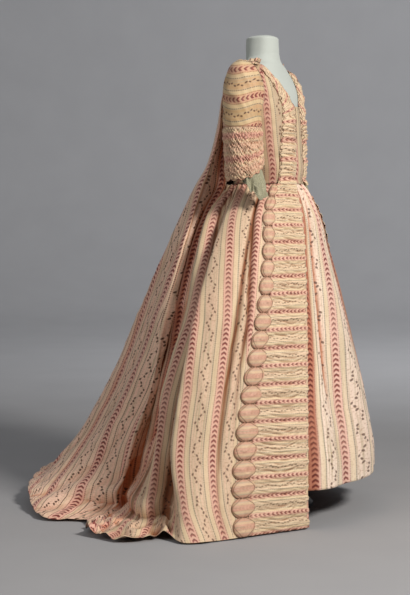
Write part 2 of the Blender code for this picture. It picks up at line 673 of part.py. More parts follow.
def strip_on_panel(grid, normal, rows, columns):
    """Points and normals of the panel between its rows, at the given columns."""
    low = np.clip(np.floor(rows).astype(int), 0, len(grid) - 2)
    t = (rows - low)[:, None, None]
    points = grid[low][:, columns] * (1 - t) + grid[low + 1][:, columns] * t
    normals = unit(normal[low][:, columns] * (1 - t) + normal[low + 1][:, columns] * t)
    return points, normals


def build_gown(side_name, turn):
    side, side_normal, sack, sack_normal = gown_shapes(turn)
    points, faces = shell(side, side - side_normal * CLOTH)
    add_side("skirt_side", side_name, points, faces, SILK)
    points, faces = shell(sack, sack - sack_normal * CLOTH)
    add_side("sack_back", side_name, points, faces, SILK)

    band = FOLDS[0].cells
    panel = len(side)
    rows = strip_rows(panel, TRIM_GATHERS, 2)
    place, out = strip_on_panel(side, side_normal, rows, np.arange(band + 1))
    phase = rows / (panel - 1) * TRIM_GATHERS
    wave = (0.5 - 0.5 * np.cos(2 * math.pi * phase))[:, None, None]
    middle = np.array([0.35, 1.0, 0.35])[None, :, None]
    lift = TRIM_LIFT + TRIM_WAVE * wave * middle
    inner = place + out * lift
    outer = place + out * (lift + CLOTH)
    outer[:, -1] += unit(place[:, -2] - place[:, -1]) * SEAM * 4
    inner[:, -1] += unit(place[:, -2] - place[:, -1]) * SEAM * 4
    points, faces = shell(outer, inner)
    add_side("skirt_band", side_name, points, faces, TRIM_SILK)

    rows = strip_rows(panel, PUFF_COUNT, 3)
    columns = np.arange(band, band + FOLDS[1].cells + 1)
    place, out = strip_on_panel(side, side_normal, rows, columns)
    phase = rows / (panel - 1) * PUFF_COUNT
    wave = np.abs(np.sin(math.pi * phase))[:, None, None]
    middle = np.array([0.0, 1.0, 0.0])[None, :, None]
    growth = np.linspace(0.55, 1.0, len(rows))[:, None, None]
    lift = TRIM_LIFT + PUFF_HEIGHT * wave * middle * growth
    inner = place + out * lift
    outer = place + out * (lift + CLOTH)
    points, faces = shell(outer, inner)
    add_side("puff_strip", side_name, points, faces, TRIM_SILK)


clear_scene()
build_form()
build_bodice()
build_robing()
build_neck_ruffle()
build_sleeves()
build_cuffs()
build_petticoat()
build_gown("right", 0.0)
build_gown("left", LEFT_TURN)
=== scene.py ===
# %% [markdown]
# # A robe a la francaise in printed silk
# The gown is an open robe with a sack back over its matching petticoat, worn on a headless dress
# form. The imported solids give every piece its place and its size. This file dresses them: each
# solid of cloth is replaced by a finer sheet that runs over the same folds, and each sheet gets a
# printed silk that knows which way its cloth was cut.

import math
from collections import namedtuple

import bmesh
import bpy
import numpy as np
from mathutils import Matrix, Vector


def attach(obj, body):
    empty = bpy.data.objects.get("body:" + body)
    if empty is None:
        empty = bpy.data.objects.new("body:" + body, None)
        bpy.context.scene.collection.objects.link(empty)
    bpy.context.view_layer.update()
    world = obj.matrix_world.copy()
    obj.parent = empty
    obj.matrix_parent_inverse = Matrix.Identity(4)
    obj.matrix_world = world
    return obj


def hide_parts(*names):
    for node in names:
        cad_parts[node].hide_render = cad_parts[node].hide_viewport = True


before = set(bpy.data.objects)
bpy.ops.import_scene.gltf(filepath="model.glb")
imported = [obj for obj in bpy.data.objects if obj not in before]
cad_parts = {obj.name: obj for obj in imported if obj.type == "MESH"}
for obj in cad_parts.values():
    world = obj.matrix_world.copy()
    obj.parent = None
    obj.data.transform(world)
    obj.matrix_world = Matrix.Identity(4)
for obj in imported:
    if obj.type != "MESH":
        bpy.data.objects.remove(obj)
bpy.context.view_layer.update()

# %% [markdown]
# ## Smooth curves through a few sections
# A dressmaker's form, a sleeve and a hanging skirt are all lofts: a few sections are known, and
# the surface passes smoothly through them. One cubic Hermite curve does it for all of them. Its
# slope at each knot is the chord between that knot's neighbours, so nothing has to be tuned.

# %% The curve that every loft uses
def smooth_curve(values, knots, places):
    """Value at each place along a chain of knots.

    A place is a knot's number plus the share t of the way to the next one. With h the span between
    the two knots, p and q their values and a and b their slopes, the value is
    (1 + 2t)(1 - t)^2 p + t(1 - t)^2 h a + t^2(3 - 2t) q + t^2(t - 1) h b.
    """
    values = np.asarray(values, float)
    knots = np.asarray(knots, float)
    knots = knots.reshape(knots.shape + (1,) * (values.ndim - knots.ndim))
    places = np.asarray(places, float)
    span = np.diff(knots, axis=0)
    slope = np.empty_like(values)
    slope[1:-1] = (values[2:] - values[:-2]) / (knots[2:] - knots[:-2])
    slope[0] = (values[1] - values[0]) / span[0]
    slope[-1] = (values[-1] - values[-2]) / span[-1]
    low = np.clip(np.floor(places).astype(int), 0, len(knots) - 2)
    t = (places - low).reshape((-1,) + (1,) * (values.ndim - 1))
    return (
        (1 + 2 * t) * (1 - t) ** 2 * values[low]
        + t * (1 - t) ** 2 * span[low] * slope[low]
        + t * t * (3 - 2 * t) * values[low + 1]
        + t * t * (t - 1) * span[low] * slope[low + 1]
    )


def even_places(cells):
    """Places along the chain, with each span cut into its own number of cells."""
    parts = [span + np.arange(count) / count for span, count in enumerate(cells)]
    return np.concatenate(parts + [[float(len(cells))]])


print("halfway along a straight run:", smooth_curve([[0.0], [1.0], [2.0]], [0, 1, 2], [0.5])[0, 0])


# %% [markdown]
# ## Cloth is a grid
# Each sheet is a grid of points with rows down the cloth and columns across it. The normal of a
# point is the direction across crossed with the direction down, which points out of the garment
# everywhere. The same grid gives the lengths of cloth, which the print needs, because a printed
# stripe keeps its width while a pleat swallows what lies between.

# %% Normals, lengths and samples of a grid
def unit(vectors):
    """Each vector divided by its length."""
    return vectors / np.maximum(np.linalg.norm(vectors, axis=-1, keepdims=True), 1e-12)


def grid_normals(grid, closed=False):
    """Unit normal: the step across the columns crossed with the step down the rows."""
    if closed:
        across = np.roll(grid, -1, axis=1) - np.roll(grid, 1, axis=1)
    else:
        across = np.gradient(grid, axis=1)
    return unit(np.cross(across, np.gradient(grid, axis=0)))


def lengths_along(grid, axis):
    """Cloth metres from the grid's first row or column: the running sum of the steps' lengths."""
    steps = np.linalg.norm(np.diff(grid, axis=axis), axis=-1)
    start = np.zeros_like(np.take(steps, [0], axis=axis))
    return np.concatenate([start, np.cumsum(steps, axis=axis)], axis=axis)


def sample(grid, rows, columns):
    """Grid value between its points: a bilinear mix of the four that surround each place."""
    rows = np.clip(rows, 0, grid.shape[0] - 1.001)
    columns = np.clip(columns, 0, grid.shape[1] - 1.001)
    i, j = np.floor(rows).astype(int), np.floor(columns).astype(int)
    s, t = (rows - i)[..., None], (columns - j)[..., None]
    upper = grid[i, j] * (1 - t) + grid[i, j + 1] * t
    lower = grid[i + 1, j] * (1 - t) + grid[i + 1, j + 1] * t
    return upper * (1 - s) + lower * s


LATTICE = 64              # cells each way before the noise repeats
LATTICE_SHIFT = (17.3, 31.7)


def soft_noise(u, v, size_u, size_v, seed):
    """Smooth random relief from -1 to 1.

    Random heights stand on a lattice, and the four round each point are blended by 3t^2 - 2t^3,
    with t the share of the way through the cell, in both directions.
    """
    table = np.random.default_rng(seed).uniform(-1, 1, (LATTICE, LATTICE))
    a = np.asarray(u / size_u + LATTICE_SHIFT[0])
    b = np.asarray(v / size_v + LATTICE_SHIFT[1])
    i, j = np.floor(a).astype(int), np.floor(b).astype(int)
    s, t = a - i, b - j
    s, t = s * s * (3 - 2 * s), t * t * (3 - 2 * t)
    i, j, k, m = i % LATTICE, j % LATTICE, (i + 1) % LATTICE, (j + 1) % LATTICE
    near = table[i, j] * (1 - s) + table[k, j] * s
    far = table[i, m] * (1 - s) + table[k, m] * s
    return near * (1 - t) + far * t


def creases(u, v, size_u, size_v, seed):
    """Sharp creases between flat facets, from 0 to 1: one less the height of the noise, squared."""
    return (1 - np.abs(soft_noise(u, v, size_u, size_v, seed))) ** 2


flat = np.stack(np.meshgrid([0.0, 0.1, 0.2], [0.0, -0.3], indexing="xy") + [np.zeros((2, 3))], axis=-1)
print("a test grid is", round(float(lengths_along(flat, 1)[0, -1]), 3), "m across")


# %% [markdown]
# ## From a grid to a sheet of cloth
# `foreach_set` writes the points, quads and cloth coordinates into a mesh in one go. The cloth
# coordinates belong to the corners of the faces and not to the points, so the print may jump
# where a pleat has folded cloth away. A rim of a millimetre gives the raw edge its thickness.

# %% Build and dress a piece
CLOTH_EDGE = 0.0010       # metres of rim at a raw edge
# For the depth of a fold: across (1) or down (0) the grid, how many cells away, and its weight.
REACHES = ((1, 2, 1.3), (1, 5, 1.4), (1, 14, 0.8), (0, 2, 1.3), (0, 5, 1.2))
SHALLOWEST, DEEPEST = -0.10, 0.35


def span_coordinates(u, v):
    """Cloth coordinates at the left and right end of each span, from those of its two points."""
    both = np.stack([u, v], axis=-1)
    return np.stack([both[:, :-1], both[:, 1:]], axis=2)


def fold_depth(grid, closed=False):
    """How deep in a fold each point lies, from 0 on a ridge to 1 in a sharp valley.

    For neighbours a few cells away on both sides, it is the height of their midpoint over the
    point, along the normal, divided by their distance. Several reaches catch pleats of several
    sizes, and their weighted sum is cut to the range from 0 to 1.
    """
    normals = grid_normals(grid, closed)
    total = np.zeros(grid.shape[:2])
    for axis, reach, weight in REACHES:
        places = np.arange(grid.shape[axis])
        if closed and axis == 1:
            ahead, behind = np.roll(places, -reach), np.roll(places, reach)
        else:
            ahead, behind = np.minimum(places + reach, places[-1]), np.maximum(places - reach, 0)
        a, b = np.take(grid, ahead, axis=axis), np.take(grid, behind, axis=axis)
        height = (((a + b) / 2 - grid) * normals).sum(axis=-1)
        apart = np.maximum(np.linalg.norm(a - b, axis=-1), 1e-6)
        total += weight * np.clip(height / apart, SHALLOWEST, DEEPEST)
    return np.clip(total, 0.0, 1.0)


def grid_mesh(name, grid, cells, closed=False, shade=0.0):
    """Mesh of a grid whose quads face out, with a UV map in metres of cloth and its fold depth.

    The corners of a quad run (i, j), (i, j + 1), (i + 1, j + 1), (i + 1, j). The given shade is added
    to the depth, and the silks darken the cloth by the sum: painted shade in folds and recesses.
    """
    rows, columns = grid.shape[:2]
    index = np.arange(rows * columns).reshape(rows, columns)
    left = index if closed else index[:, :-1]
    right = np.roll(index, -1, axis=1) if closed else index[:, 1:]
    quads = np.stack([left[:-1], right[:-1], right[1:], left[1:]], axis=-1).reshape(-1, 4)
    corners = np.stack([cells[:-1, :, 0], cells[:-1, :, 1], cells[1:, :, 1], cells[1:, :, 0]], axis=2)
    mesh = bpy.data.meshes.new(name)
    mesh.vertices.add(rows * columns)
    mesh.vertices.foreach_set("co", grid.astype(np.float32).ravel())
    mesh.loops.add(quads.size)
    mesh.loops.foreach_set("vertex_index", quads.astype(np.int32).ravel())
    mesh.polygons.add(len(quads))
    mesh.polygons.foreach_set("loop_start", np.arange(0, quads.size, 4, dtype=np.int32))
    mesh.update(calc_edges=True)
    mesh.uv_layers.new(name="cloth").data.foreach_set("uv", corners.astype(np.float32).ravel())
    mesh.polygons.foreach_set("use_smooth", np.ones(len(quads), bool))
    depth = mesh.attributes.new("fold", "FLOAT", "POINT")
    deep = np.clip(fold_depth(grid, closed) + shade, 0.0, 1.0)
    depth.data.foreach_set("value", deep.astype(np.float32).ravel())
    mesh.validate()
    return mesh


def mirrored(grid):
    """The other side's grid: X changes sign and the columns run the other way, so it still faces out."""
    return grid[:, ::-1] * np.array([-1.0, 1.0, 1.0])


def add_piece(name, mesh, material, nodes):
    """An object at the origin that rides on the part and stands for its CAD nodes."""
    piece = bpy.data.objects.new(name, mesh)
    bpy.context.scene.collection.objects.link(piece)
    mesh.materials.append(material)
    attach(piece, "root")
    if nodes:
        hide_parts(*nodes)
    return piece


def add_sheet(name, grid, cells, material, nodes, rests_on, closed=False, shade=0.0):
    """A sheet of cloth with a rim at its raw edge; it also works out the area that its grid unfolds to."""
    piece = add_piece(name, grid_mesh(name, grid, cells, closed, shade), material, nodes)
    rim = piece.modifiers.new("edge", "SOLIDIFY")
    rim.thickness = CLOTH_EDGE
    rim.offset = -1.0
    rim.use_rim = True
    rim.use_rim_only = True
    loop = np.concatenate([grid, grid[:, :1]], axis=1) if closed else grid
    a, b, c, d = loop[:-1, :-1], loop[:-1, 1:], loop[1:, 1:], loop[1:, :-1]
    area = float(np.linalg.norm(np.cross(c - a, d - b), axis=-1).sum() / 2)
    return piece


print("deepest fold of the flat test grid:", float(fold_depth(flat).max()))

# %% [markdown]
# ## Shader nodes in a line of arithmetic
# The print is drawn by arithmetic on the cloth coordinates, as a block printer repeats one block.
# Writing each node by hand would bury that arithmetic, so a small wrapper lets a Math node be
# written as `a * b + c`.

# %% A number that is worked out by nodes
class Value:
    """A socket of a node tree that can be added, multiplied and compared like a number."""

    def __init__(self, tree, socket):
        self.tree = tree
        self.socket = socket

    def math(self, operation, *others):
        """A Math node on this value and the others, which may be plain numbers."""
        node = self.tree.nodes.new("ShaderNodeMath")
        node.operation = operation
        for place, value in enumerate((self, *others)):
            if isinstance(value, Value):
                self.tree.links.new(value.socket, node.inputs[place])
            else:
                node.inputs[place].default_value = value
        return Value(self.tree, node.outputs[0])

    def __add__(self, other):
        return self.math("ADD", other)

    def __sub__(self, other):
        return self.math("SUBTRACT", other)

    def __mul__(self, other):
        return self.math("MULTIPLY", other)

    def distance_to_repeat(self, pitch, at=0.0):
        """Signed distance to the nearest multiple of the pitch, counted from at."""
        shifted = (self - (at - pitch / 2)).math("FLOORED_MODULO", pitch)
        return shifted - pitch / 2

    def size(self):
        """The value without its sign."""
        return self.math("ABSOLUTE")

    def within(self, width, softness):
        """One where the value is under width, falling to nought over the softness beyond it."""
        node = self.tree.nodes.new("ShaderNodeMapRange")
        node.interpolation_type = "SMOOTHSTEP"
        self.tree.links.new(self.socket, node.inputs["Value"])
        node.inputs["From Min"].default_value = width
        node.inputs["From Max"].default_value = width + softness
        node.inputs["To Min"].default_value = 1.0
        node.inputs["To Max"].default_value = 0.0
        return Value(self.tree, node.outputs["Result"])


def noise_value(tree, vector, scale, detail=2.0):
    """A Noise Texture's value on the given coordinates."""
    node = tree.nodes.new("ShaderNodeTexNoise")
    node.inputs["Scale"].default_value = scale
    node.inputs["Detail"].default_value = detail
    tree.links.new(vector, node.inputs["Vector"])
    return Value(tree, node.outputs["Fac"])


def paint(tree, ground, color, amount):
    """The ground with a colour mixed over it by the amount."""
    node = tree.nodes.new("ShaderNodeMix")
    node.data_type = "RGBA"
    tree.links.new(amount.socket, node.inputs["Factor"])
    if isinstance(ground, tuple):
        node.inputs[6].default_value = (*ground, 1.0)
    else:
        tree.links.new(ground, node.inputs[6])
    if isinstance(color, tuple):
        node.inputs[7].default_value = (*color, 1.0)
    else:
        tree.links.new(color, node.inputs[7])
    return node.outputs[2]


def in_folds(tree, color, shade):
    """The colour, multiplied towards the shade where the mesh says that a fold is deep."""
    depth = tree.nodes.new("ShaderNodeAttribute")
    depth.attribute_name = "fold"
    node = tree.nodes.new("ShaderNodeMix")
    node.data_type = "RGBA"
    node.blend_type = "MULTIPLY"
    tree.links.new(depth.outputs["Fac"], node.inputs["Factor"])
    tree.links.new(color, node.inputs[6])
    node.inputs[7].default_value = (*shade, 1.0)
    return node.outputs[2]


def new_material(name, roughness, specular=0.35, sheen=0.0):
    """An empty material whose shader already has the numbers that are the same all over."""
    made = bpy.data.materials.new(name)
    made.use_nodes = True
    shader = made.node_tree.nodes["Principled BSDF"]
    shader.inputs["Roughness"].default_value = roughness
    shader.inputs["Specular IOR Level"].default_value = specular
    shader.inputs["Sheen Weight"].default_value = sheen
    shader.inputs["Sheen Roughness"].default_value = 0.45
    return made, made.node_tree, shader


def cloth_place(tree):
    """The two cloth coordinates, in metres, as values, and the vector that holds them."""
    node = tree.nodes.new("ShaderNodeUVMap")
    node.uv_map = "cloth"
    split = tree.nodes.new("ShaderNodeSeparateXYZ")
    tree.links.new(node.outputs["UV"], split.inputs["Vector"])
    return Value(tree, split.outputs["X"]), Value(tree, split.outputs["Y"]), node.outputs["UV"]


def raise_surface(tree, shader, height, distance, strength=1.0):
    """A Bump node that raises the surface by the height times the distance in metres."""
    bump = tree.nodes.new("ShaderNodeBump")
    bump.inputs["Distance"].default_value = distance
    bump.inputs["Strength"].default_value = strength
    tree.links.new(height.socket, bump.inputs["Height"])
    tree.links.new(bump.outputs["Normal"], shader.inputs["Normal"])


print("a Value can be added, subtracted, multiplied, repeated and cut off")


# %% [markdown]
# ## The printed silk
# The cloth is a cream taffeta woven with faint stripes and printed with two columns in turn: a
# stack of rose chevrons on a pink band, and a fine brown vine that swings from side to side, with
# thin dotted lines between them. Stripes of this kind were common on silks of the 1770s. The
# repeat is a little over nine centimetres. Distances to the middle of each column are enough to
# draw it, so the pattern needs no picture.

# %% Colours and sizes of the print
REPEAT = 0.092
CHEVRON_PITCH = 0.0138
CHEVRON_HALF = 0.0072
VINE_SWING = 0.0090
VINE_PERIOD = 0.0714
LEAF_PITCH = 0.0102
RUN_PERIOD = 0.31         # from one dark run of chevrons to the next
STRAW_FROM_CHEVRONS = 0.0200
DOTS_FROM_CHEVRONS = 0.0125
SAGE_FROM_VINE = 0.0190
DOTS_FROM_VINE = 0.0190
DOT_PITCH = 0.0062
WEFT_PITCH = 0.0011

CREAM = (0.745, 0.535, 0.370)
PEACH = (0.830, 0.480, 0.350)
STRAW = (0.780, 0.620, 0.370)
SAGE = (0.560, 0.530, 0.380)
ROSE_BAND = (0.780, 0.390, 0.310)
ROSE = (0.270, 0.055, 0.048)
BROWN = (0.130, 0.065, 0.040)
# Painted shade: deep folds and recesses are multiplied by these colours. The sack's is warmer and lighter.
FOLD_SHADE = (0.330, 0.155, 0.080)
WARM_SHADE = (0.660, 0.300, 0.150)
FADED_WARP = (0.520, 0.420, 0.270)
SPECK = (0.500, 0.310, 0.190)


def printed_silk(name, ground=CREAM, strength=1.0, worn=0.0, band=0.55, swing=VINE_SWING,
                 shade=FOLD_SHADE, woven=1.0):
    """Silk whose colour comes from the distance to its chevron and vine columns.

    The strength is that of all the printed figures, the band that of the pink under the chevrons
    and woven that of the woven stripes. Worn adds to the peach patches, the swing is how far the
    vine goes to either side, and the shade is the colour that deep folds are multiplied by.
    """
    made, tree, shader = new_material(name, roughness=0.58, specular=0.30, sheen=0.12)
    u, v, both = cloth_place(tree)
    x = u.distance_to_repeat(REPEAT)
    y = u.distance_to_repeat(REPEAT, at=REPEAT / 2)
    patchy = noise_value(tree, both, 9.0)
    fine = noise_value(tree, both, 60.0, 3.0)
    color = paint(tree, ground, PEACH, (patchy - 0.36) * 1.6 * (0.40 + worn))
    # Streaks along the cloth, where the warp has faded unevenly.
    streaks = tree.nodes.new("ShaderNodeMapping")
    streaks.inputs["Scale"].default_value = (170.0, 5.0, 1.0)
    tree.links.new(both, streaks.inputs["Vector"])
    streak = noise_value(tree, streaks.outputs["Vector"], 1.0, 1.0)
    color = paint(tree, color, FADED_WARP, (streak - 0.48) * 3.2)
    speck = noise_value(tree, both, 210.0, 1.0)
    color = paint(tree, color, SPECK, (speck - 0.52) * 3.2)
    # Woven stripes: straw beside the rose band, sage beside the vine.
    straw = (x.size() - STRAW_FROM_CHEVRONS).size().within(0.0045, 0.0030)
    color = paint(tree, color, STRAW, straw * 0.45 * woven)
    sage = (y.size() - SAGE_FROM_VINE).size().within(0.0012, 0.0025)
    color = paint(tree, color, SAGE, sage * 0.34 * woven)
    color = paint(tree, color, ROSE_BAND, x.size().within(0.0100, 0.0035) * band)
    # Dotted lines on either side of the vine, in brown, and of the chevrons, in rose.
    dash = v.distance_to_repeat(DOT_PITCH).size().within(0.0016, 0.0012)
    brown_line = (y.size() - DOTS_FROM_VINE).size().within(0.0008, 0.0010)
    color = paint(tree, color, BROWN, brown_line * dash * 0.70 * strength)
    rose_line = (x.size() - DOTS_FROM_CHEVRONS).size().within(0.0006, 0.0009)
    color = paint(tree, color, ROSE, rose_line * dash * 0.55 * strength)
    # Chevrons: two leaves that lean together, darker in some runs than in others.
    lean = v + x.size() * 0.75
    leaf = lean.distance_to_repeat(CHEVRON_PITCH).size().within(0.0020, 0.0026)
    run = (v * (2 * math.pi / RUN_PERIOD)).math("SINE") * 0.16 + fine * 0.5 + 0.56
    leaf = leaf * x.size().within(CHEVRON_HALF - 0.001, 0.0022)
    color = paint(tree, color, ROSE, leaf * run * strength)
    tip = lean.distance_to_repeat(CHEVRON_PITCH, at=0.0016).size().within(0.0008, 0.0012)
    color = paint(tree, color, BROWN, tip * x.size().within(0.0040, 0.0030) * 0.60 * strength)
    # Vine: leaves in turn to the left and the right of a faint line that swings from side to side.
    step = v.distance_to_repeat(LEAF_PITCH)
    middle = v - step
    side = middle.distance_to_repeat(2 * LEAF_PITCH).size() - LEAF_PITCH / 2
    off = y - (middle * (2 * math.pi / VINE_PERIOD)).math("SINE") * swing - side * 0.42
    slant = off + side * step * 60.0
    vine_leaf = (slant * slant * (1 / 0.0027 ** 2) + step * step * (1 / 0.0036 ** 2)).within(0.70, 0.70)
    stem = (y - (v * (2 * math.pi / VINE_PERIOD)).math("SINE") * swing).size().within(0.0004, 0.0008)
    color = paint(tree, color, BROWN, stem * 0.22 * strength)
    color = paint(tree, color, BROWN, vine_leaf * 0.84 * strength)
    # Painted shade: the colour is darkened in folds and recesses by the mesh's fold attribute.
    color = in_folds(tree, color, shade)
    tree.links.new(color, shader.inputs["Base Color"])
    weft = v.distance_to_repeat(WEFT_PITCH).size() * 900.0
    raise_surface(tree, shader, weft * 0.12 + fine * 0.9, 0.0010, 0.35)
    return made


silk = printed_silk("printed_silk")
front_silk = printed_silk("petticoat_silk", ground=(0.940, 0.770, 0.630), shade=(0.560, 0.290, 0.190))
# This silk's darker ground is painted shade for the sleeves' shadow on the bodice; the stomacher uses it
# too.
bodice_silk_painted_shade = printed_silk("bodice_silk_painted_shade", ground=(0.500, 0.385, 0.260))
sack_silk = printed_silk("sack_silk", ground=(0.900, 0.610, 0.460), strength=1.5, worn=0.2,
                         shade=WARM_SHADE, woven=0.4)
trim_silk = printed_silk("gathered_silk", ground=(0.800, 0.620, 0.420), strength=0.9, swing=0.004)
puff_silk = printed_silk("puffed_silk", ground=(0.635, 0.365, 0.255), strength=0.12, band=0.12, worn=0.2)
sleeve_silk = printed_silk("sleeve_silk", ground=(0.550, 0.355, 0.172), strength=1.1, worn=0.1,
                           band=0.35, swing=0.0035)
cuff_silk = printed_silk("puckered_silk", ground=(0.710, 0.440, 0.295), strength=0.9, worn=0.5)
silks = (silk, front_silk, bodice_silk_painted_shade, sack_silk, trim_silk, puff_silk, sleeve_silk, cuff_silk)
print("printed silks:", [made.name for made in silks])


# %% [markdown]
# ## The folds of the skirt and the sack back
# A sack back is two box pleats that are sewn down at the neck and fall free into a train, and the
# skirt sides hang from the waist over a hoop. Seen from above, the cloth is one line that runs
# from the front edge out and in over each fold to the centre back. The table has a row for each
# ridge or valley, with its plan point at each height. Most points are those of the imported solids.
# The recess between the two back pleats is up to four centimetres shallower than in the solids. The
# valley before it is up to five deeper at the ankle, and the pleat's edge on the floor is drawn in
# by ten, so that the puddled cloth comes out from under the train.

# %% Heights and folds of the gown
NECK, BLADE, CHEST, RIB = 1.294, 1.240, 1.150, 1.050
WAIST, HIP, PANNIER, THIGH, KNEE, CALF, ANKLE = 0.982, 0.900, 0.780, 0.600, 0.400, 0.220, 0.090
BELOW = (WAIST, HIP, PANNIER, THIGH, KNEE, CALF, ANKLE)

Fold = namedtuple("Fold", "name turn waist hip pannier thigh knee calf ankle hem")
FOLDS = [
    Fold("front_edge", 1.0, (-.046, -.119), (-.086, -.154), (-.118, -.178), (-.180, -.2085),
         (-.240, -.235), (-.275, -.250), (-.290, -.256), (-.284, -.258, .003)),
    Fold("band_edge", .95, (-.098, -.083), (-.170, -.103), (-.225, -.125), (-.285, -.140),
         (-.345, -.138), (-.395, -.142), (-.425, -.149), (-.440, -.158, .003)),
    Fold("puff_edge", .90, (-.111, -.066), (-.195, -.075), (-.255, -.097), (-.325, -.105),
         (-.400, -.096), (-.455, -.095), (-.490, -.105), (-.506, -.120, .003)),
    Fold("side_face", .78, (-.124, -.016), (-.215, -.031), (-.290, -.041), (-.375, -.044),
         (-.450, -.034), (-.510, -.035), (-.545, -.061), (-.552, -.088, .003)),
    Fold("side_ridge", .56, (-.121, .025), (-.210, .029), (-.300, .035), (-.400, .049),
         (-.480, .057), (-.535, .057), (-.580, .012), (-.615, -.022, .004)),
    Fold("side_valley", .34, (-.116, .041), (-.182, .056), (-.250, .048), (-.336, .046),
         (-.400, .072), (-.435, .084), (-.458, .090), (-.590, .055, .014)),
    Fold("pleat_ridge", .14, (-.106, .063), (-.190, .100), (-.255, .105), (-.330, .108),
         (-.400, .146), (-.462, .142), (-.506, .149), (-.672, .130, .004)),
    Fold("seam_valley", 0, (-.100, .088), (-.149, .114), (-.193, .138), (-.245, .153),
         (-.306, .170), (-.345, .195), (-.430, .228), (-.655, .215, .016)),
    Fold("under_turn", 0, (-.102, .118), (-.137, .144), (-.181, .172), (-.228, .198),
         (-.273, .222), (-.293, .262), (-.335, .285), (-.630, .275, .022)),
    Fold("pleat_edge", 0, (-.163, .137), (-.180, .158), (-.215, .184), (-.262, .215),
         (-.310, .232), (-.338, .287), (-.358, .326), (-.485, .362, .010)),
    Fold("back_face", 0, (-.117, .181), (-.130, .215), (-.155, .257), (-.185, .312),
         (-.215, .370), (-.248, .446), (-.335, .480), (-.505, .495, .004)),
    Fold("back_ridge", 0, (-.059, .205), (-.068, .250), (-.078, .307), (-.090, .385),
         (-.102, .472), (-.130, .570), (-.205, .652), (-.300, .668, .045)),
    Fold("centre_back", 0, (0, .195), (0, .244), (0, .308), (0, .389),
         (0, .480), (0, .588), (0, .705), (0, .800, .055)),
]
FOLD_PLACE = {fold.name: place for place, fold in enumerate(FOLDS)}
SEAM_PLACE = FOLD_PLACE["seam_valley"]

Upper = namedtuple("Upper", "name neck blade chest rib")
SACK_UPPER = [
    Upper("seam_valley", (-.067, .0834), (-.097, .0870), (-.113, .0780), (-.115, .0860)),
    Upper("under_turn", (-.062, .0890), (-.086, .0945), (-.098, .0940), (-.103, .1080)),
    Upper("pleat_edge", (-.080, .0905), (-.113, .0935), (-.137, .0920), (-.152, .1120)),
    Upper("back_face", (-.058, .1020), (-.082, .1095), (-.098, .1200), (-.110, .1440)),
    Upper("back_ridge", (-.030, .1060), (-.040, .1150), (-.052, .1350), (-.056, .1620)),
    Upper("centre_back", (0, .0970), (0, .1045), (0, .1240), (0, .1520)),
]
LEFT_TURN = 32.0          # degrees the left front is drawn back at the hem
LEFT_FLARE = 0.05         # share that the drawn-back folds stand further out
LEFT_FLARE_WITHIN = 6.0   # degrees of turn over which they come to do so
CLOTH_STEP = 0.0057       # metres of cloth between two points of a fine sheet
LINE_UNIT = 0.0048        # metres of cloth to one unit of a crease's width, where the face is widest


def station_points(turn):
    """Points [fold, station] from the waist down, and the sack's from the neck to the ribs.

    A fold turns about the middle by the turn, times its own share, times the 0.85th power of how
    far down it is, and stands out a little as it turns.
    """
    lower = np.array([
        [(x, y, z) for (x, y), z in zip(fold[2:9], BELOW)] + [fold.hem] for fold in FOLDS
    ])
    upper = np.array([
        [(x, y, z) for (x, y), z in zip(fold[1:], (NECK, BLADE, CHEST, RIB))] for fold in SACK_UPPER
    ])
    share = np.array([fold.turn for fold in FOLDS])[:, None]
    drop = np.clip((WAIST - lower[..., 2]) / WAIST, 0.0, 1.0) ** 0.85
    angle = np.radians(turn * share * drop)
    grow = 1.0 + LEFT_FLARE * (1.0 - np.exp(-angle / math.radians(LEFT_FLARE_WITHIN)))
    x = grow * (lower[..., 0] * np.cos(angle) + lower[..., 1] * np.sin(angle))
    y = grow * (lower[..., 1] * np.cos(angle) - lower[..., 0] * np.sin(angle))
    lower[..., 0], lower[..., 1] = x, y
    return lower, upper


def cells_for(points, axis, step):
    """Cells for each span along an axis, so that none is longer than the step where it is widest."""
    chord = np.linalg.norm(np.diff(points, axis=axis), axis=-1)
    return np.maximum(np.ceil(chord.max(axis=1 - axis) / step).astype(int), 3)


def down_stations(points, cells):
    """Curves down every fold, as a grid [row, fold], with knots at the mean chord between stations."""
    chord = np.linalg.norm(np.diff(points, axis=1), axis=2).mean(axis=0)
    knots = np.concatenate([[0.0], np.cumsum(chord)])
    return smooth_curve(points.transpose(1, 0, 2), knots, even_places(cells))


def across_folds(points, cells):
    """Curves across every row, as a grid [row, column], with knots at the root of the chord."""
    chord = np.linalg.norm(np.diff(points, axis=1), axis=2) ** 0.5
    knots = np.concatenate([np.zeros((len(points), 1)), np.cumsum(chord, axis=1)], axis=1)
    curves = smooth_curve(points.transpose(1, 0, 2), knots.T, even_places(cells))
    return curves.transpose(1, 0, 2)


right_lower, right_upper = station_points(0.0)
SKIRT_CELLS = cells_for(right_lower, 1, CLOTH_STEP)
SACK_CELLS = cells_for(np.concatenate([right_upper, right_lower[SEAM_PLACE:, :1]], axis=1), 1, CLOTH_STEP)
FOLD_CELLS = cells_for(right_lower, 0, CLOTH_STEP)
ABOVE = int(SACK_CELLS.sum())
SEAM_COLUMN = int(FOLD_CELLS[:SEAM_PLACE].sum())
print("rows below the waist", SKIRT_CELLS.sum(), "above", ABOVE, "columns", FOLD_CELLS.sum())


# %% [markdown]
# ## One surface for the skirt side and the sack
# The skirt side and the sack meet in a seam beside the back pleats. Both are cut from one surface,
# so they can't part there. It is bare, as the cloth would hang with no creases. A curve through so
# few heights would run out to the train in a slope, so near the floor the cloth of the back pleats
# is led down first and then out.

# %% The gown's bare surface on one side
PUDDLE_POWER = 2.2
PUDDLE_FROM, PUDDLE_TO = 4.6, 10.2        # places on the chain of folds
TUCK_DEPTH, TUCK_LOW, TUCK_FADE = 0.010, 0.62, 0.14


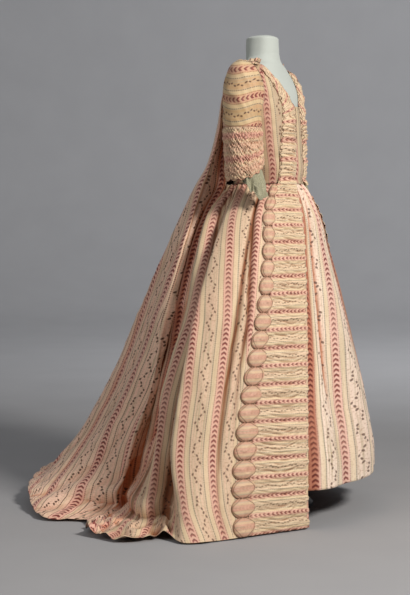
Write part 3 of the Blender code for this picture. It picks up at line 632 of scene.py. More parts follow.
def puddled(grid, column_places):
    """The back pleats' cloth falls to the floor before it runs out along it.

    In the last span of rows, with t from 0 to 1, the plan place is taken at t to the 2.2 and the
    height at 1 - (1 - t)^2.2. This is full between the pleats beside the seam, and fades out
    over one fold to either side and over the first third of the span.
    """
    last = int(SKIRT_CELLS[-1])
    start = len(grid) - 1 - last
    inside = np.minimum(column_places - PUDDLE_FROM, PUDDLE_TO - column_places)
    t = np.linspace(0, 1, last + 1)[:, None]
    weight = np.clip(inside, 0.0, 1.0)[None, :, None] * np.minimum(t / 0.35, 1.0)[..., None] ** 1.5
    columns = np.broadcast_to(np.arange(grid.shape[1]), (last + 1, grid.shape[1]))
    out = sample(grid, start + last * np.broadcast_to(t ** PUDDLE_POWER, columns.shape), columns)
    fall = 1 - (1 - t) ** PUDDLE_POWER
    down = sample(grid, start + last * np.broadcast_to(fall, columns.shape), columns)
    moved = np.concatenate([out[..., :2], down[..., 2:]], axis=-1)
    settled = grid.copy()
    settled[-last - 1:] = grid[-last - 1:] * (1 - weight) + moved * weight
    return settled


def gown_grids(turn):
    """The lower gown from front edge to centre back, and the sack from neck to train.

    Curves run down every fold first, those of the sack from the neck with no break at the waist,
    and then a curve runs across every row.
    """
    lower, upper = station_points(turn)
    sack_points = np.concatenate([upper, lower[SEAM_PLACE:]], axis=1)
    sack_folds = down_stations(sack_points, np.concatenate([SACK_CELLS, SKIRT_CELLS]))
    side_folds = down_stations(lower[: SEAM_PLACE + 1], SKIRT_CELLS)
    folds = np.concatenate([side_folds[:, :-1], sack_folds[ABOVE:]], axis=1)
    whole = puddled(across_folds(folds, FOLD_CELLS), even_places(FOLD_CELLS))
    top = across_folds(sack_folds[:ABOVE], FOLD_CELLS[SEAM_PLACE:])
    return whole, np.concatenate([top, whole[:, SEAM_COLUMN:]])


def tucked(grid):
    """The left front, drawn in to the petticoat by a centimetre.

    This is full from the waist to below the pannier and fades out at the thigh, and over the last
    eight columns before the side face.
    """
    columns = np.clip((FOLD_CELLS[:3].sum() - np.arange(grid.shape[1])) / 8.0, 0.0, 1.0)[None, :]
    rows = np.clip((grid[..., 2] - TUCK_LOW) / TUCK_FADE, 0.0, 1.0)
    return grid - grid_normals(grid) * (TUCK_DEPTH * columns * rows)[..., None]


whole_right, sack_right = gown_grids(0.0)
whole_left, sack_left = gown_grids(LEFT_TURN)
whole_left = tucked(whole_left)
print("lower gown", whole_right.shape[:2], "sack", sack_right.shape[:2])

# %% [markdown]
# ## Stripes that keep their width
# The print must not stretch where the skirt widens. Each face between two valleys therefore has a
# leading line, a fold that the stripes run along, and the cloth coordinate across it is the real
# distance to that line. At a valley the coordinate jumps, as it does on a pleat that hides a part
# of the cloth. The coordinate along the cloth is the distance down the leading line.

# %% Cloth coordinates by leading lines
Face = namedtuple("Face", "first last leader stripe spread", defaults=(1.0,))


def fold_column(place, offset=0):
    """The column of a place on the chain of folds, such as 3.5, between two folds."""
    edges = np.concatenate([[0], np.cumsum(FOLD_CELLS)])
    return np.interp(place, np.arange(len(edges)), edges) - offset


def by_station(value, rows, stations, eased=False):
    """A value for every row: a number is the same all the way down, a tuple has one for each station.

    An eased value goes from one station to the next along 3t^2 - 2t^3, and so has no corners.
    """
    edges = np.concatenate([[0], np.cumsum(stations)])
    place = np.interp(rows, edges, np.arange(len(edges)))
    if eased:
        t = place - np.floor(place)
        place = np.floor(place) + t * t * (3 - 2 * t)
    return np.interp(place, np.arange(len(edges)), np.broadcast_to(value, len(edges)))


def led_coordinates(grid, faces, stations, offset=0, drop=0.0):
    """Cloth coordinates at both ends of every span of a grid.

    Across: the stripe that the leading line lies on, plus the cloth between it and the point,
    over the spread of the face.
    Down: the drop, which is the cloth above the waist, less the cloth from the first row to this
    one along the leading line.
    """
    across = lengths_along(grid, 1)
    down = lengths_along(grid, 0)
    rows = np.arange(len(grid), dtype=float)
    spans = np.arange(grid.shape[1] - 1)[None, :] + 0.5
    cells = np.zeros((len(grid), grid.shape[1] - 1, 2, 2))
    for face in faces:
        first, last, leader = (
            fold_column(by_station(value, rows, stations), offset)
            for value in (face.first, face.last, face.leader)
        )
        centre = sample(across[..., None], rows, leader)
        along = sample(down[..., None], rows, leader)
        u = face.stripe + (across - centre) / face.spread
        v = np.broadcast_to(drop - along, u.shape)
        inside = (spans >= np.round(first)[:, None]) & (spans <= np.round(last)[:, None])
        cells = np.where(inside[..., None, None], span_coordinates(u, v), cells)
    return cells


CHEVRON_LINE, VINE_LINE = 0.0, REPEAT / 2
# The tuples give a place at the waist, hip, pannier, thigh, knee, calf, ankle and hem.
HIDDEN_PLEAT = (2.5, 2.5, 2.50, 2.26, 2.15, 2.0, 2.0, 2.0)
OPEN_CREASE = (2.55, 2.60, 2.71, 2.67, 2.55, 2.50, 2.5, 2.5)
SIDE_FACES = [
    Face(0, 2, 1.0, CHEVRON_LINE),
    Face(2, HIDDEN_PLEAT, (2.2, 2.25, 2.34, 2.18, 1.60, 1.50, 1.5, 1.5), CHEVRON_LINE),
    Face(HIDDEN_PLEAT, 5, (3.80, 3.65, 3.33, 3.02, 2.78, 2.74, 2.65, 2.47), CHEVRON_LINE),
    Face(5, 7, (5.50, 5.50, 5.55, 5.70, 5.75, 5.90, 5.80, 5.60), CHEVRON_LINE),
]
# The sack's tuples begin with four more: the neck, the shoulder blade, the chest and the ribs.
SACK_FACES = [
    Face(7, 8, 7.5, CHEVRON_LINE),
    Face(8, 9, (8.5, 8.5, 8.5, 8.5, 8.4, 8.3, 8.2, 8.4, 8.65, 8.65, 8.6, 8.6), VINE_LINE, 1.2),
    Face(9, 12, (10.1, 10.1, 10.1, 10.1, 10.1, 9.9, 9.70, 9.85, 10.0, 10.05, 10.1, 10.1), VINE_LINE, 1.4),
]
print("leading lines:", len(SIDE_FACES) + len(SACK_FACES))

# %% [markdown]
# ## Creases and small folds
# Taffeta is crisp. It breaks into long soft pipes that run down from the waist, and between them
# into flat facets with sharp creases. Both are added along the normals: the pipes as a noise that
# is much longer than it is wide, and the creases as one less the height of a noise, which is
# sharp where the noise crosses nought. Near the waist the gathers are close and deep.

# %% Relief of hanging silk
SET_IN = 0.0006           # metres that a hanging sheet is set in from the bare surface
ABOVE_FLOOR = 0.0015      # metres that its lowest points keep from the ground


def hanging_relief(u, v, seed, depth=1.0):
    """Metres out of the surface at u across and v down: pipes, creases and crumples summed."""
    pipes = 0.0048 * soft_noise(u, v, 0.055, 0.75, seed)
    pipes = pipes + 0.0022 * soft_noise(u, v, 0.026, 0.42, seed + 1)
    breaks = 0.0032 * (creases(u + 0.35 * v, v, 0.085, 0.19, seed + 2) - 0.35)
    crumple = 0.0017 * (creases(u, v, 0.034, 0.052, seed + 3) - 0.35)
    return depth * (pipes + breaks + crumple)


Line = namedtuple("Line", "place width amount")


def along_lines(lines, grid, stations, offset=0):
    """What a table of lines down the cloth adds at every point of a grid.

    Each line adds its amount times the exponential of minus the square of the distance across,
    over its width. Its place and its amount may change from station to station.
    """
    rows, columns = np.arange(len(grid), dtype=float), np.arange(grid.shape[1])[None, :]
    total = np.zeros(grid.shape[:2])
    for line in lines:
        place = fold_column(by_station(line.place, rows, stations), offset)[:, None]
        amount = by_station(line.amount, rows, stations, eased=True)[:, None]
        width = line.width * LINE_UNIT / CLOTH_STEP
        total += amount * np.exp(-((columns - place) / width) ** 2)
    return total


def hem_ramp(down, start, full):
    """Nought at the start, one from full on, along a smooth step."""
    t = np.clip((down - start) / (full - start), 0.0, 1.0)
    return t * t * (3 - 2 * t)


def hem_waves(places, across, down, seed):
    """Metres that the hem's cloth is lifted: crumpled where it is puddled, finely waved on the train.

    The puddle lies within 20 cm of the hem, and the train's waves within 9 cm of it.
    """
    end = down[-1:]
    near = hem_ramp(down - end, -0.20, -0.08)
    puddle = np.clip(np.minimum(places - 4.4, 8.9 - places) / 0.6, 0.0, 1.0)
    train = np.clip((places - 9.0) / 0.5, 0.0, 1.0) * hem_ramp(down - end, -0.09, -0.01)
    crumple = 0.024 * (creases(across, down, 0.070, 0.045, seed) - 0.25)
    crumple = crumple + 0.014 * soft_noise(across, down, 0.036, 0.040, seed + 1)
    bend = 5 * soft_noise(across, down, 0.06, 1.0, seed + 2)
    crinkle = 0.004 * np.cos(2 * math.pi * across / 0.024 + bend)
    uneven = 0.5 + 0.5 * soft_noise(across, down, 0.05, 1.0, seed + 3)
    crinkle = crinkle * uneven * np.clip(places - 10.0, 0.3, 1.0)
    return near * puddle * crumple + train * (crinkle + 0.004)


def laid(grid, waves):
    """The grid with its points lifted by the waves, and none of them under the floor."""
    lifted = grid.copy()
    lifted[..., 2] = np.maximum(grid[..., 2] + waves, ABOVE_FLOOR)
    return lifted


def dressed(grid, relief, normals=None):
    """The grid with each point moved along its normal by the relief."""
    normals = grid_normals(grid) if normals is None else normals
    return grid + normals * relief[..., None]


print("relief at one point:", round(float(hanging_relief(np.array(0.1), np.array(0.2), 5)), 5))

# %% [markdown]
# ## The sides of the skirt
# Each side of the robe's skirt is gathered at the waist and falls over the hoop to the floor. A
# simulation of the cloth could drape it, but then no fold would stay where the solids have it. So
# the large folds come from the table above, and a second table has the narrow grooves between
# them, as lines down the cloth. A third table darkens the places where a recess holds less light.

# %% Skirt sides
BAND_COLUMN = int(FOLD_CELLS[0])
PUFF_COLUMN = int(FOLD_CELLS[:2].sum())
SEAM_FADE = 6.0           # columns over which the relief dies out at a seam
# The tuples are for the waist, hip, pannier, thigh, knee, calf, ankle and hem.
GROOVES = [
    Line(HIDDEN_PLEAT, 1.6, (0.004, 0.008, 0.013, 0.013, 0.007, 0.0, 0.0, 0.0)),
    Line(OPEN_CREASE, 1.6, (0.005, 0.008, 0.014, 0.014, 0.011, 0.006, 0.002, 0.0)),
    Line((4.4, 4.45, 4.5, 4.5, 4.4, 4.4, 4.3, 4.3), 2.2,
         (0.004, 0.006, 0.006, 0.006, 0.006, 0.005, 0.004, 0.0)),
    Line(5.30, 2.2, (0.004, 0.006, 0.008, 0.008, 0.007, 0.008, 0.010, 0.0)),
    Line(6.35, 2.2, (0.003, 0.005, 0.008, 0.009, 0.009, 0.008, 0.006, 0.0)),
]
SHADOWS = [
    Line(HIDDEN_PLEAT, 1.1, (0.5, 0.8, 1.0, 1.0, 0.5, 0.0, 0.0, 0.0)),
    Line(OPEN_CREASE, 1.2, (0.5, 0.7, 0.9, 0.9, 0.8, 0.5, 0.2, 0.0)),
    Line(5.15, 3.5, (0.4, 0.4, 0.4, 0.3, 0.4, 0.6, 0.9, 0.4)),
    Line(6.9, 3.0, (0.8, 0.6, 0.4, 0.3, 0.3, 0.5, 0.8, 0.3)),
    Line(5.9, 3.0, (0.5, 0.3, 0.0, 0.0, 0.0, 0.0, 0.0, 0.0)),
    Line(4.6, 3.0, (0.5, 0.3, 0.0, 0.0, 0.0, 0.0, 0.0, 0.0)),
]


def skirt_side(side_name, whole, seed):
    """One side of the skirt, from the front edge to the seam with the sack.

    The bare surface is moved along its normals by the hanging relief, less the grooves, plus a
    cosine round the waist for the gathers. Then the waves lift its hem.
    """
    grid = whole[:, : SEAM_COLUMN + 1]
    normals = grid_normals(whole)[:, : SEAM_COLUMN + 1]
    across, down = lengths_along(grid, 1), lengths_along(grid, 0)
    middle = across - across[:, PUFF_COLUMN:PUFF_COLUMN + 1]
    ramp = hem_ramp(down, 0.02, 0.25)
    relief = hanging_relief(middle, down, seed) * (0.35 + 0.65 * ramp)
    columns = np.arange(grid.shape[1])[None, :]
    relief -= along_lines(GROOVES, grid, SKIRT_CELLS)
    relief += 0.0025 * np.cos(2 * math.pi * middle / 0.017) * (1 - hem_ramp(down, 0.0, 0.16))
    # The relief dies out under the trims and at the seam, where other pieces lie on this one.
    under_trim = np.clip((columns - PUFF_COLUMN) / 5.0, 0.0, 1.0)
    at_seam = np.clip((SEAM_COLUMN - columns) / SEAM_FADE, 0.0, 1.0)
    relief *= under_trim * at_seam
    relief -= SET_IN
    grid = dressed(grid, relief, normals)
    places = even_places(FOLD_CELLS)[None, : SEAM_COLUMN + 1]
    grid = laid(grid, hem_waves(places, across, down, seed + 6) * at_seam)
    cells = led_coordinates(whole[:, : SEAM_COLUMN + 1], SIDE_FACES, SKIRT_CELLS)
    # Painted shade along the creases and recesses, from the table of shadows.
    shade = along_lines(SHADOWS, grid, SKIRT_CELLS)
    if side_name == "left":
        grid, cells, shade = mirrored(grid), cells[:, ::-1, ::-1], shade[:, ::-1]
    return add_sheet("skirt_side_cloth_" + side_name, grid, cells, silk, ["skirt_side_" + side_name],
                     ["form_torso"], shade=shade)


skirt_side("right", whole_right, 11)
skirt_side("left", whole_left, 23)


# %% [markdown]
# ## The sack back
# The sack hangs from the seam at the neck in one length with its train. It is made as the skirt
# sides are, with tables of its own. The two halves meet at the centre back, and the last column of
# each is held to the middle plane, so that no gap opens between them.

# %% Sack back
# At the neck, blade, chest, ribs, waist, hip, pannier, thigh, knee, calf, ankle and hem.
SACK_GROOVES = [
    Line(8.62, 3.0, (0.0, 0.001, 0.004, 0.008, 0.010, 0.006, 0.003, 0.0, 0.0, 0.004, 0.008, 0.0)),
    Line(8.45, 7.0, (0.0, 0.0, 0.0, 0.0, 0.0, -0.004, -0.010, -0.012, -0.008, 0.006, 0.026, 0.006)),
    Line(7.80, 3.0, (0.0, 0.0, 0.0, 0.0, -0.003, -0.006, -0.010, -0.012, -0.012, -0.006, 0.0, 0.0)),
    Line(10.45, 3.0, (0.0, 0.001, 0.002, 0.003, 0.004, 0.005, 0.005, 0.005, 0.005, 0.005, 0.005, 0.004)),
    Line(11.35, 3.0, (0.0, 0.001, 0.002, 0.003, 0.004, 0.005, 0.006, 0.006, 0.006, 0.006, 0.005, 0.004)),
]
# Painted shade along the sack's recesses. The negative amounts lighten: they take away some of the painted
# shade that the fold depth gives there.
SACK_SHADOWS = [
    Line(8.75, 2.0, (0.3, 0.6, 1.0, 1.0, 0.8, 0.5, 0.3, 0.2, 0.2, 0.5, 1.0, 1.0)),
    Line(8.25, 6.0, (0.0, 0.2, 0.3, 0.3, 0.1, -0.3, -0.5, -0.5, -0.3, 0.3, 1.0, 1.0)),
    Line(7.15, 3.0, (0.3, 0.6, 0.9, 1.0, 0.8, 0.4, 0.2, 0.1, 0.1, 0.4, 0.8, 0.5)),
]


def sack_back(side_name, sack, seed):
    """One half of the sack back, from the neck seam to the end of the train.

    The bare surface is moved along its normals by the hanging relief less the grooves, and the
    waves lift its hem. The relief grows down the back and dies out at the seam.
    """
    normals = grid_normals(sack)
    normals[:, -1, 0] = 0.0
    normals = unit(normals)
    across, down = lengths_along(sack, 1), lengths_along(sack, 0)
    inward = across[:, -1:] - across
    ramp = hem_ramp(down, 0.10, 0.60)
    relief = hanging_relief(inward, down, seed, 1.15) * (0.10 + 0.90 * ramp)
    columns = np.arange(sack.shape[1])[None, :]
    stations = np.concatenate([SACK_CELLS, SKIRT_CELLS])
    relief -= along_lines(SACK_GROOVES, sack, stations, SEAM_COLUMN)
    at_seam = np.clip(columns / SEAM_FADE, 0.0, 1.0)
    at_centre = np.clip((sack.shape[1] - 1 - columns) / SEAM_FADE, 0.0, 1.0)
    relief = relief * at_seam * (0.15 + 0.85 * at_centre) - SET_IN
    grid = dressed(sack, relief, normals)
    places = even_places(FOLD_CELLS)[None, SEAM_COLUMN:]
    grid = laid(grid, hem_waves(places, inward, down, seed + 6) * at_seam * at_centre)
    grid[:, -1, 0] = 0.0
    cells = led_coordinates(sack, SACK_FACES, stations, SEAM_COLUMN, drop=float(down[ABOVE].mean()))
    # Painted shade along the recesses, from the table, fading out between fifteen and three centimetres
    # before the hem.
    shade = along_lines(SACK_SHADOWS, sack, stations, SEAM_COLUMN)
    shade = shade * (1.0 - hem_ramp(down - down[-1:], -0.15, -0.03))
    if side_name == "left":
        grid, cells, shade = mirrored(grid), cells[:, ::-1, ::-1], shade[:, ::-1]
    return add_sheet("sack_cloth_" + side_name, grid, cells, sack_silk, ["sack_back_" + side_name],
                     ["bodice_back_" + side_name], shade=shade)


sack_back("right", sack_right, 37)
sack_back("left", sack_left, 41)


# %% [markdown]
# ## The petticoat
# The petticoat is a tube of the same silk, gathered at the waist and spread by a hoop, and its hem
# stands ten centimetres above the floor. Its sections are squared ellipses. The gathers are close
# at the waist, and fewer and softer lower down. The print runs both ways from the centre front and
# breaks at the centre back, where a seam would be.

# %% Petticoat
Hoop = namedtuple("Hoop", "z half_width front back power")
PETTICOAT = [
    Hoop(0.985, 0.1140, 0.1108, 0.0850, 2.2),
    Hoop(0.962, 0.1320, 0.1300, 0.0980, 2.1),
    Hoop(0.940, 0.1500, 0.1420, 0.1060, 2.1),
    Hoop(0.880, 0.1900, 0.1660, 0.1250, 2.2),
    Hoop(0.810, 0.2250, 0.1810, 0.1420, 2.2),
    Hoop(0.735, 0.2500, 0.1980, 0.1560, 2.3),
    Hoop(0.575, 0.2920, 0.2360, 0.1800, 2.4),
    Hoop(0.370, 0.3300, 0.2800, 0.2050, 2.6),
    Hoop(0.193, 0.3520, 0.3150, 0.2250, 2.6),
    Hoop(0.105, 0.3600, 0.3210, 0.2320, 2.6),
]
PETTICOAT_FOLDS = 10
PETTICOAT_FOLD_DEPTH = 0.008
PETTICOAT_COLUMNS, PETTICOAT_ROWS = 400, 155
VALLEY_TURN = (12.0, 21.0)                # degrees from the front, below the hip and at the knee
VALLEY_Z, VALLEY_SPAN = 0.84, 0.44         # metres: the upper height, and down to the lower one
VALLEY_WIDTH, VALLEY_DEPTH = 1.9, 0.011   # degrees and metres
PRINT_WIDER, PRINT_LONGER = 1.7, 1.1      # against the gown's print
LEAD_FADE = 0.4                           # metres of cloth past the centre front
Lead = namedtuple("Lead", "z stripe edge")  # a chevron stripe in metres, the robe's edge in degrees
PETTICOAT_LEADS = [
    Lead(0.15, 0.078, 43.0), Lead(0.32, 0.074, 40.0), Lead(0.43, 0.056, 37.0), Lead(0.55, 0.034, 33.0),
    Lead(0.73, 0.0, 27.0), Lead(0.885, -0.018, 23.0),
]


def at_heights(table, heights):
    """The table's other columns at each height, along the smooth curve through its rows."""
    knots = np.array([row.z for row in table])
    order = np.argsort(knots)
    places = np.interp(heights, knots[order], np.arange(len(knots)))
    return smooth_curve(np.array([row[1:] for row in table])[order], knots[order], places)


def squared_ellipse(angles, half_width, front, back, power):
    """X and Y of a ring from the centre front round by the right: sines and cosines to the 2/power."""
    across, along = np.sin(angles), np.cos(angles)
    depth = np.where(along > 0, front, back)
    x = -half_width * np.sign(across) * np.abs(across) ** (2 / power)
    y = -depth * np.sign(along) * np.abs(along) ** (2 / power)
    return x, y


petticoat_z = PETTICOAT[0].z + (PETTICOAT[-1].z - PETTICOAT[0].z) * np.linspace(0, 1, PETTICOAT_ROWS)
angles = np.arange(PETTICOAT_COLUMNS) * 2 * math.pi / PETTICOAT_COLUMNS
sizes = at_heights(PETTICOAT, petticoat_z)
swing = np.clip((0.96 - petticoat_z) / 0.5, 0, 1)[:, None]
large_folds = PETTICOAT_FOLD_DEPTH * swing * np.cos(PETTICOAT_FOLDS * angles + 0.6 * swing)
hoop_x, hoop_y = squared_ellipse(
    angles,
    sizes[:, :1] + large_folds,
    sizes[:, 1:2] + large_folds,
    sizes[:, 2:3] + large_folds,
    sizes[:, 3:4],
)
hoop_z = np.repeat(petticoat_z[:, None], PETTICOAT_COLUMNS, axis=1)
petticoat_bare = np.stack([hoop_x, hoop_y, hoop_z], axis=-1)
petticoat_down = lengths_along(petticoat_bare, 0)
ring = lengths_along(np.concatenate([petticoat_bare, petticoat_bare[:, :1]], axis=1), 1)
turned = angles / (2 * math.pi) * ring[-1, -1]
at_waist = (1 - hem_ramp(petticoat_down, 0.0, 0.30)) ** 2
gathers = 0.0040 * np.cos(46 * angles + 3 * np.sin(5 * angles)) * at_waist
# One long valley on each side, between the centre front and the robe's edge.
from_front = np.minimum(angles, 2 * math.pi - angles)
valley_share = np.clip((VALLEY_Z - petticoat_z) / VALLEY_SPAN, -0.2, 1.3)[:, None]
valley_at = VALLEY_TURN[0] + (VALLEY_TURN[1] - VALLEY_TURN[0]) * valley_share
valley = sum(
    np.exp(-((np.degrees(turned_by) - valley_at) / VALLEY_WIDTH) ** 2)
    for turned_by in (angles, 2 * math.pi - angles)
)
valley = valley * hem_ramp(petticoat_down, 0.02, 0.12) * (1 - hem_ramp(petticoat_down, 0.50, 0.75))
petticoat_relief = hanging_relief(turned, petticoat_down, 61, 0.75) * (0.3 + 0.7 * swing)
petticoat_relief = petticoat_relief + gathers - 0.001 - VALLEY_DEPTH * valley
# The noise has its join at the centre front, so the relief dies out there.
at_join = np.minimum(1, from_front / 0.10)
petticoat_normals = grid_normals(petticoat_bare, closed=True)
petticoat_grid = dressed(petticoat_bare, petticoat_relief * at_join, petticoat_normals)
lead_z, lead_stripe, lead_edge = np.array(PETTICOAT_LEADS).T
petticoat_cells = span_coordinates(
    np.broadcast_to(np.concatenate([turned, [ring[-1, -1]]]), ring.shape),
    -np.concatenate([petticoat_down, petticoat_down[:, :1]], axis=1) / PRINT_LONGER,
)
# Round the tube the coordinate runs both ways from the centre front, and breaks at the centre back.
# The leads bring a chevron stripe beside the robe's right edge, and fade out past the centre front.
middle = petticoat_cells[..., 0].mean(axis=2, keepdims=True)
signed = petticoat_cells[..., 0] - ring[-1, -1] * (middle > ring[-1, -1] / 2)
lead = np.interp(petticoat_z, lead_z, lead_stripe)[:, None, None]
petticoat_cells[..., 0] = (signed - lead * np.clip(1.0 + signed / LEAD_FADE, 0.0, 1.0)) / PRINT_WIDER
# The shade of the robe begins seven degrees before its edge, and is full from four degrees on. The
# valleys are shaded too.
edge_at = np.interp(petticoat_z, lead_z, lead_edge)[:, None]
under_edge = np.clip((np.degrees(from_front) - edge_at + 7.0) / 3.0, 0.0, 1.0)
petticoat_shade = np.maximum(0.8 * valley, 0.9 * under_edge)
add_sheet("petticoat_cloth", petticoat_grid, petticoat_cells, front_silk, ["petticoat"],
          ["form_torso"], closed=True, shade=petticoat_shade)

# %% [markdown]
# ## The dress form
# The form is a headless bust with no limbs, covered in stretched white cotton. It runs through the
# same sections as its solid, with more points round and down, so that the neck is round. A seam of
# the cover goes round the neck, higher in front, and the neck ends in a soft dome.

# %% Form
Section = namedtuple("Section", "z half_width front back")
FORM = [
    Section(0.840, 0.146, 0.108, 0.104),
    Section(0.900, 0.134, 0.109, 0.098),
    Section(0.985, 0.111, 0.108, 0.082),
    Section(1.030, 0.116, 0.111, 0.083),
    Section(1.080, 0.128, 0.108, 0.087),
    Section(1.150, 0.142, 0.104, 0.092),
    Section(1.210, 0.150, 0.098, 0.093),
    Section(1.260, 0.153, 0.087, 0.089),
    Section(1.300, 0.148, 0.068, 0.080),
    Section(1.325, 0.126, 0.055, 0.070),
    Section(1.342, 0.098, 0.049, 0.062),
    Section(1.354, 0.072, 0.043, 0.058),
    Section(1.370, 0.056, 0.040, 0.058),
    Section(1.400, 0.050, 0.038, 0.060),
    Section(1.424, 0.0485, 0.037, 0.059),
]
RING_POWER = 2.2
FORM_TOP = 1.436
FORM_COLUMNS, FORM_ROWS, DOME_ROWS, UNDERSIDE_ROWS = 96, 190, 14, 9
COVER_SEAM_Z, COVER_SEAM_RISE = 1.372, 0.010
COVER_SEAM_HEIGHT, COVER_SEAM_WIDTH = 0.0011, 0.0016


def torso(degrees, z, lift):
    """Points of the torso, moved out by the lift.

    The height gives the ring's half width and its two depths, each with the lift added, and the
    angle the place on the ring. The point also rises by four tenths of the lift.
    """
    degrees, z = np.broadcast_arrays(np.asarray(degrees, float), np.asarray(z, float))
    section = at_heights(FORM, z.ravel()).reshape(z.shape + (3,))
    half_width, front, back = (section[..., k] + lift for k in range(3))
    x, y = squared_ellipse(np.radians(degrees), half_width, front, back, RING_POWER)
    return np.stack([x, y, z + 0.4 * lift], axis=-1)


def fabric_cover(name, color, roughness, thread):
    """Plain woven cotton: a faint mottle in the colour and a fine thread in the relief."""
    made, tree, shader = new_material(name, roughness, specular=0.25, sheen=0.1)
    place = tree.nodes.new("ShaderNodeTexCoord").outputs["Object"]
    mottle = noise_value(tree, place, 14.0, 3.0)
    threads = noise_value(tree, place, thread, 1.0)
    shade = tuple(0.80 * c for c in color)
    tree.links.new(paint(tree, color, shade, mottle * 0.5), shader.inputs["Base Color"])
    raise_surface(tree, shader, threads, 0.0006, 0.4)
    return made


form_cotton = fabric_cover("form_cotton", (0.53, 0.57, 0.53), 0.82, 900.0)
form_angles = np.arange(FORM_COLUMNS) * 2 * math.pi / FORM_COLUMNS
form_z = np.linspace(FORM[-1].z, FORM[0].z, FORM_ROWS)
form_wall = torso(np.degrees(form_angles)[None, :], form_z[:, None], 0.0)
dome_share = np.sin(np.linspace(0.02, math.pi / 2, DOME_ROWS))
dome = np.repeat(form_wall[:1], DOME_ROWS, axis=0)
dome[..., :2] *= dome_share[:, None, None]
dome[..., 2] = FORM[-1].z + (FORM_TOP - FORM[-1].z) * np.sqrt(1 - dome_share ** 2)[:, None]
base_share = np.linspace(1.0, 0.02, UNDERSIDE_ROWS + 1)[1:]
underside = np.repeat(form_wall[-1:], UNDERSIDE_ROWS, axis=0)
underside[..., :2] *= base_share[:, None, None]
underside[..., 2] = FORM[0].z
form_grid = np.concatenate([dome[:-1], form_wall, underside])
seam_at = COVER_SEAM_Z + COVER_SEAM_RISE * np.cos(form_angles)
seam = COVER_SEAM_HEIGHT * np.exp(-((form_grid[..., 2] - seam_at) / COVER_SEAM_WIDTH) ** 2)
form_grid -= grid_normals(form_grid, closed=True) * seam[..., None]
form_uv = span_coordinates(
    np.repeat(np.linspace(0, 0.9, FORM_COLUMNS + 1)[None, :], len(form_grid), axis=0),
    np.repeat(-np.linspace(0, 0.8, len(form_grid))[:, None], FORM_COLUMNS + 1, axis=1),
)
form_mesh = grid_mesh("form_cover", form_grid, form_uv, closed=True)


def close_ends(mesh, rows, columns):
    """A flat face over the first and the last row of a closed grid, so that the piece has no holes."""
    shape = bmesh.new()
    shape.from_mesh(mesh)
    shape.verts.ensure_lookup_table()
    for row, order in ((0, -1), (rows - 1, 1)):
        ring_points = [shape.verts[row * columns + k] for k in range(columns)]
        shape.faces.new(ring_points[::order]).smooth = True
    shape.to_mesh(mesh)
    shape.free()


close_ends(form_mesh, len(form_grid), len(form_angles))
add_piece("form_cover", form_mesh, form_cotton, ["form_torso"])
print("form", form_grid.shape[:2])

# %% [markdown]
# ## Bodice and stomacher
# The bodice fronts and the fitted backs lie close on the form. Each panel is ruled between its
# inner and its outer edge in degrees and heights, and then wrapped round the torso. One chevron
# column runs up each side of the front.

# %% Bodice panels
BODICE_LIFT, WAIST_LIFT, WAIST_Z = 0.0030, 0.0010, 0.982
UNDERARM_Z, SIDE_SEAM, UNDERARM_ROW = 1.165, 95.0, 3
WALL = 0.0020
TORSO_RADIUS = 0.125      # metres, to turn degrees round the torso into cloth
UP_THE_BODY = 1.02        # metres of cloth to a metre of height
STOMACHER_GAP = 0.09      # degrees between the stomacher and the fronts
STOMACHER_COLUMNS = 48
Row = namedtuple("Row", "inner outer")
FRONT_ROWS = [
    Row((21.0, WAIST_Z), (SIDE_SEAM, WAIST_Z)),
    Row((19.5, 1.060), (SIDE_SEAM, 1.050)),
    Row((18.5, 1.140), (SIDE_SEAM, 1.110)),
    Row((18.5, 1.215), (SIDE_SEAM, UNDERARM_Z)),
    Row((25.0, 1.262), (72.0, 1.195)),
    Row((34.0, 1.300), (66.0, 1.240)),
    Row((50.0, 1.330), (73.0, 1.285)),
    Row((90.0, 1.347), (90.0, 1.314)),
]
BACK_ROWS = [
    Row((180.0, WAIST_Z), (SIDE_SEAM, WAIST_Z)),
    Row((180.0, 1.075), (SIDE_SEAM, 1.050)),
    Row((180.0, 1.160), (SIDE_SEAM, 1.110)),
    Row((180.0, 1.235), (SIDE_SEAM, UNDERARM_Z)),
    Row((180.0, 1.306), (112.0, 1.195)),
    Row((160.0, 1.321), (116.0, 1.240)),
    Row((128.0, 1.334), (108.0, 1.285)),
    Row((90.0, 1.347), (90.0, 1.314)),
]


def bodice_lift(z):
    """The bodice's clearance: close at the waist, easy above, and out over the skirts at its edge."""
    close = (BODICE_LIFT - WAIST_LIFT) * np.clip((1.03 - z) / 0.04, 0.0, 1.0)
    return BODICE_LIFT - close + 0.0045 * np.clip((0.996 - z) / 0.012, 0.0, 1.0)


def bodice_path(rows, columns, cells):
    """Degrees and heights of a panel, from the shoulder down and from the front round to the back."""
    knots = np.arange(len(rows))
    places = even_places([cells] * (len(rows) - 1))
    inner = smooth_curve([r.inner for r in rows], knots, places)
    outer = smooth_curve([r.outer for r in rows], knots, places)
    outer[: UNDERARM_ROW * cells + 1, 0] = SIDE_SEAM
    inner[:, 0] = np.minimum(inner[:, 0], 180.0)
    share = np.linspace(0, 1, columns)[None, :, None]
    path = (inner[:, None] * (1 - share) + outer[:, None] * share)[::-1]
    return path[:, ::-1] if rows[0].inner[0] > SIDE_SEAM else path


def body_coordinates(degrees, z, stripe_degrees):
    """Cloth coordinates on the torso: round it from the stripe's angle, and up it."""
    around = np.radians(degrees - stripe_degrees) * TORSO_RADIUS
    return span_coordinates(around, z * UP_THE_BODY)


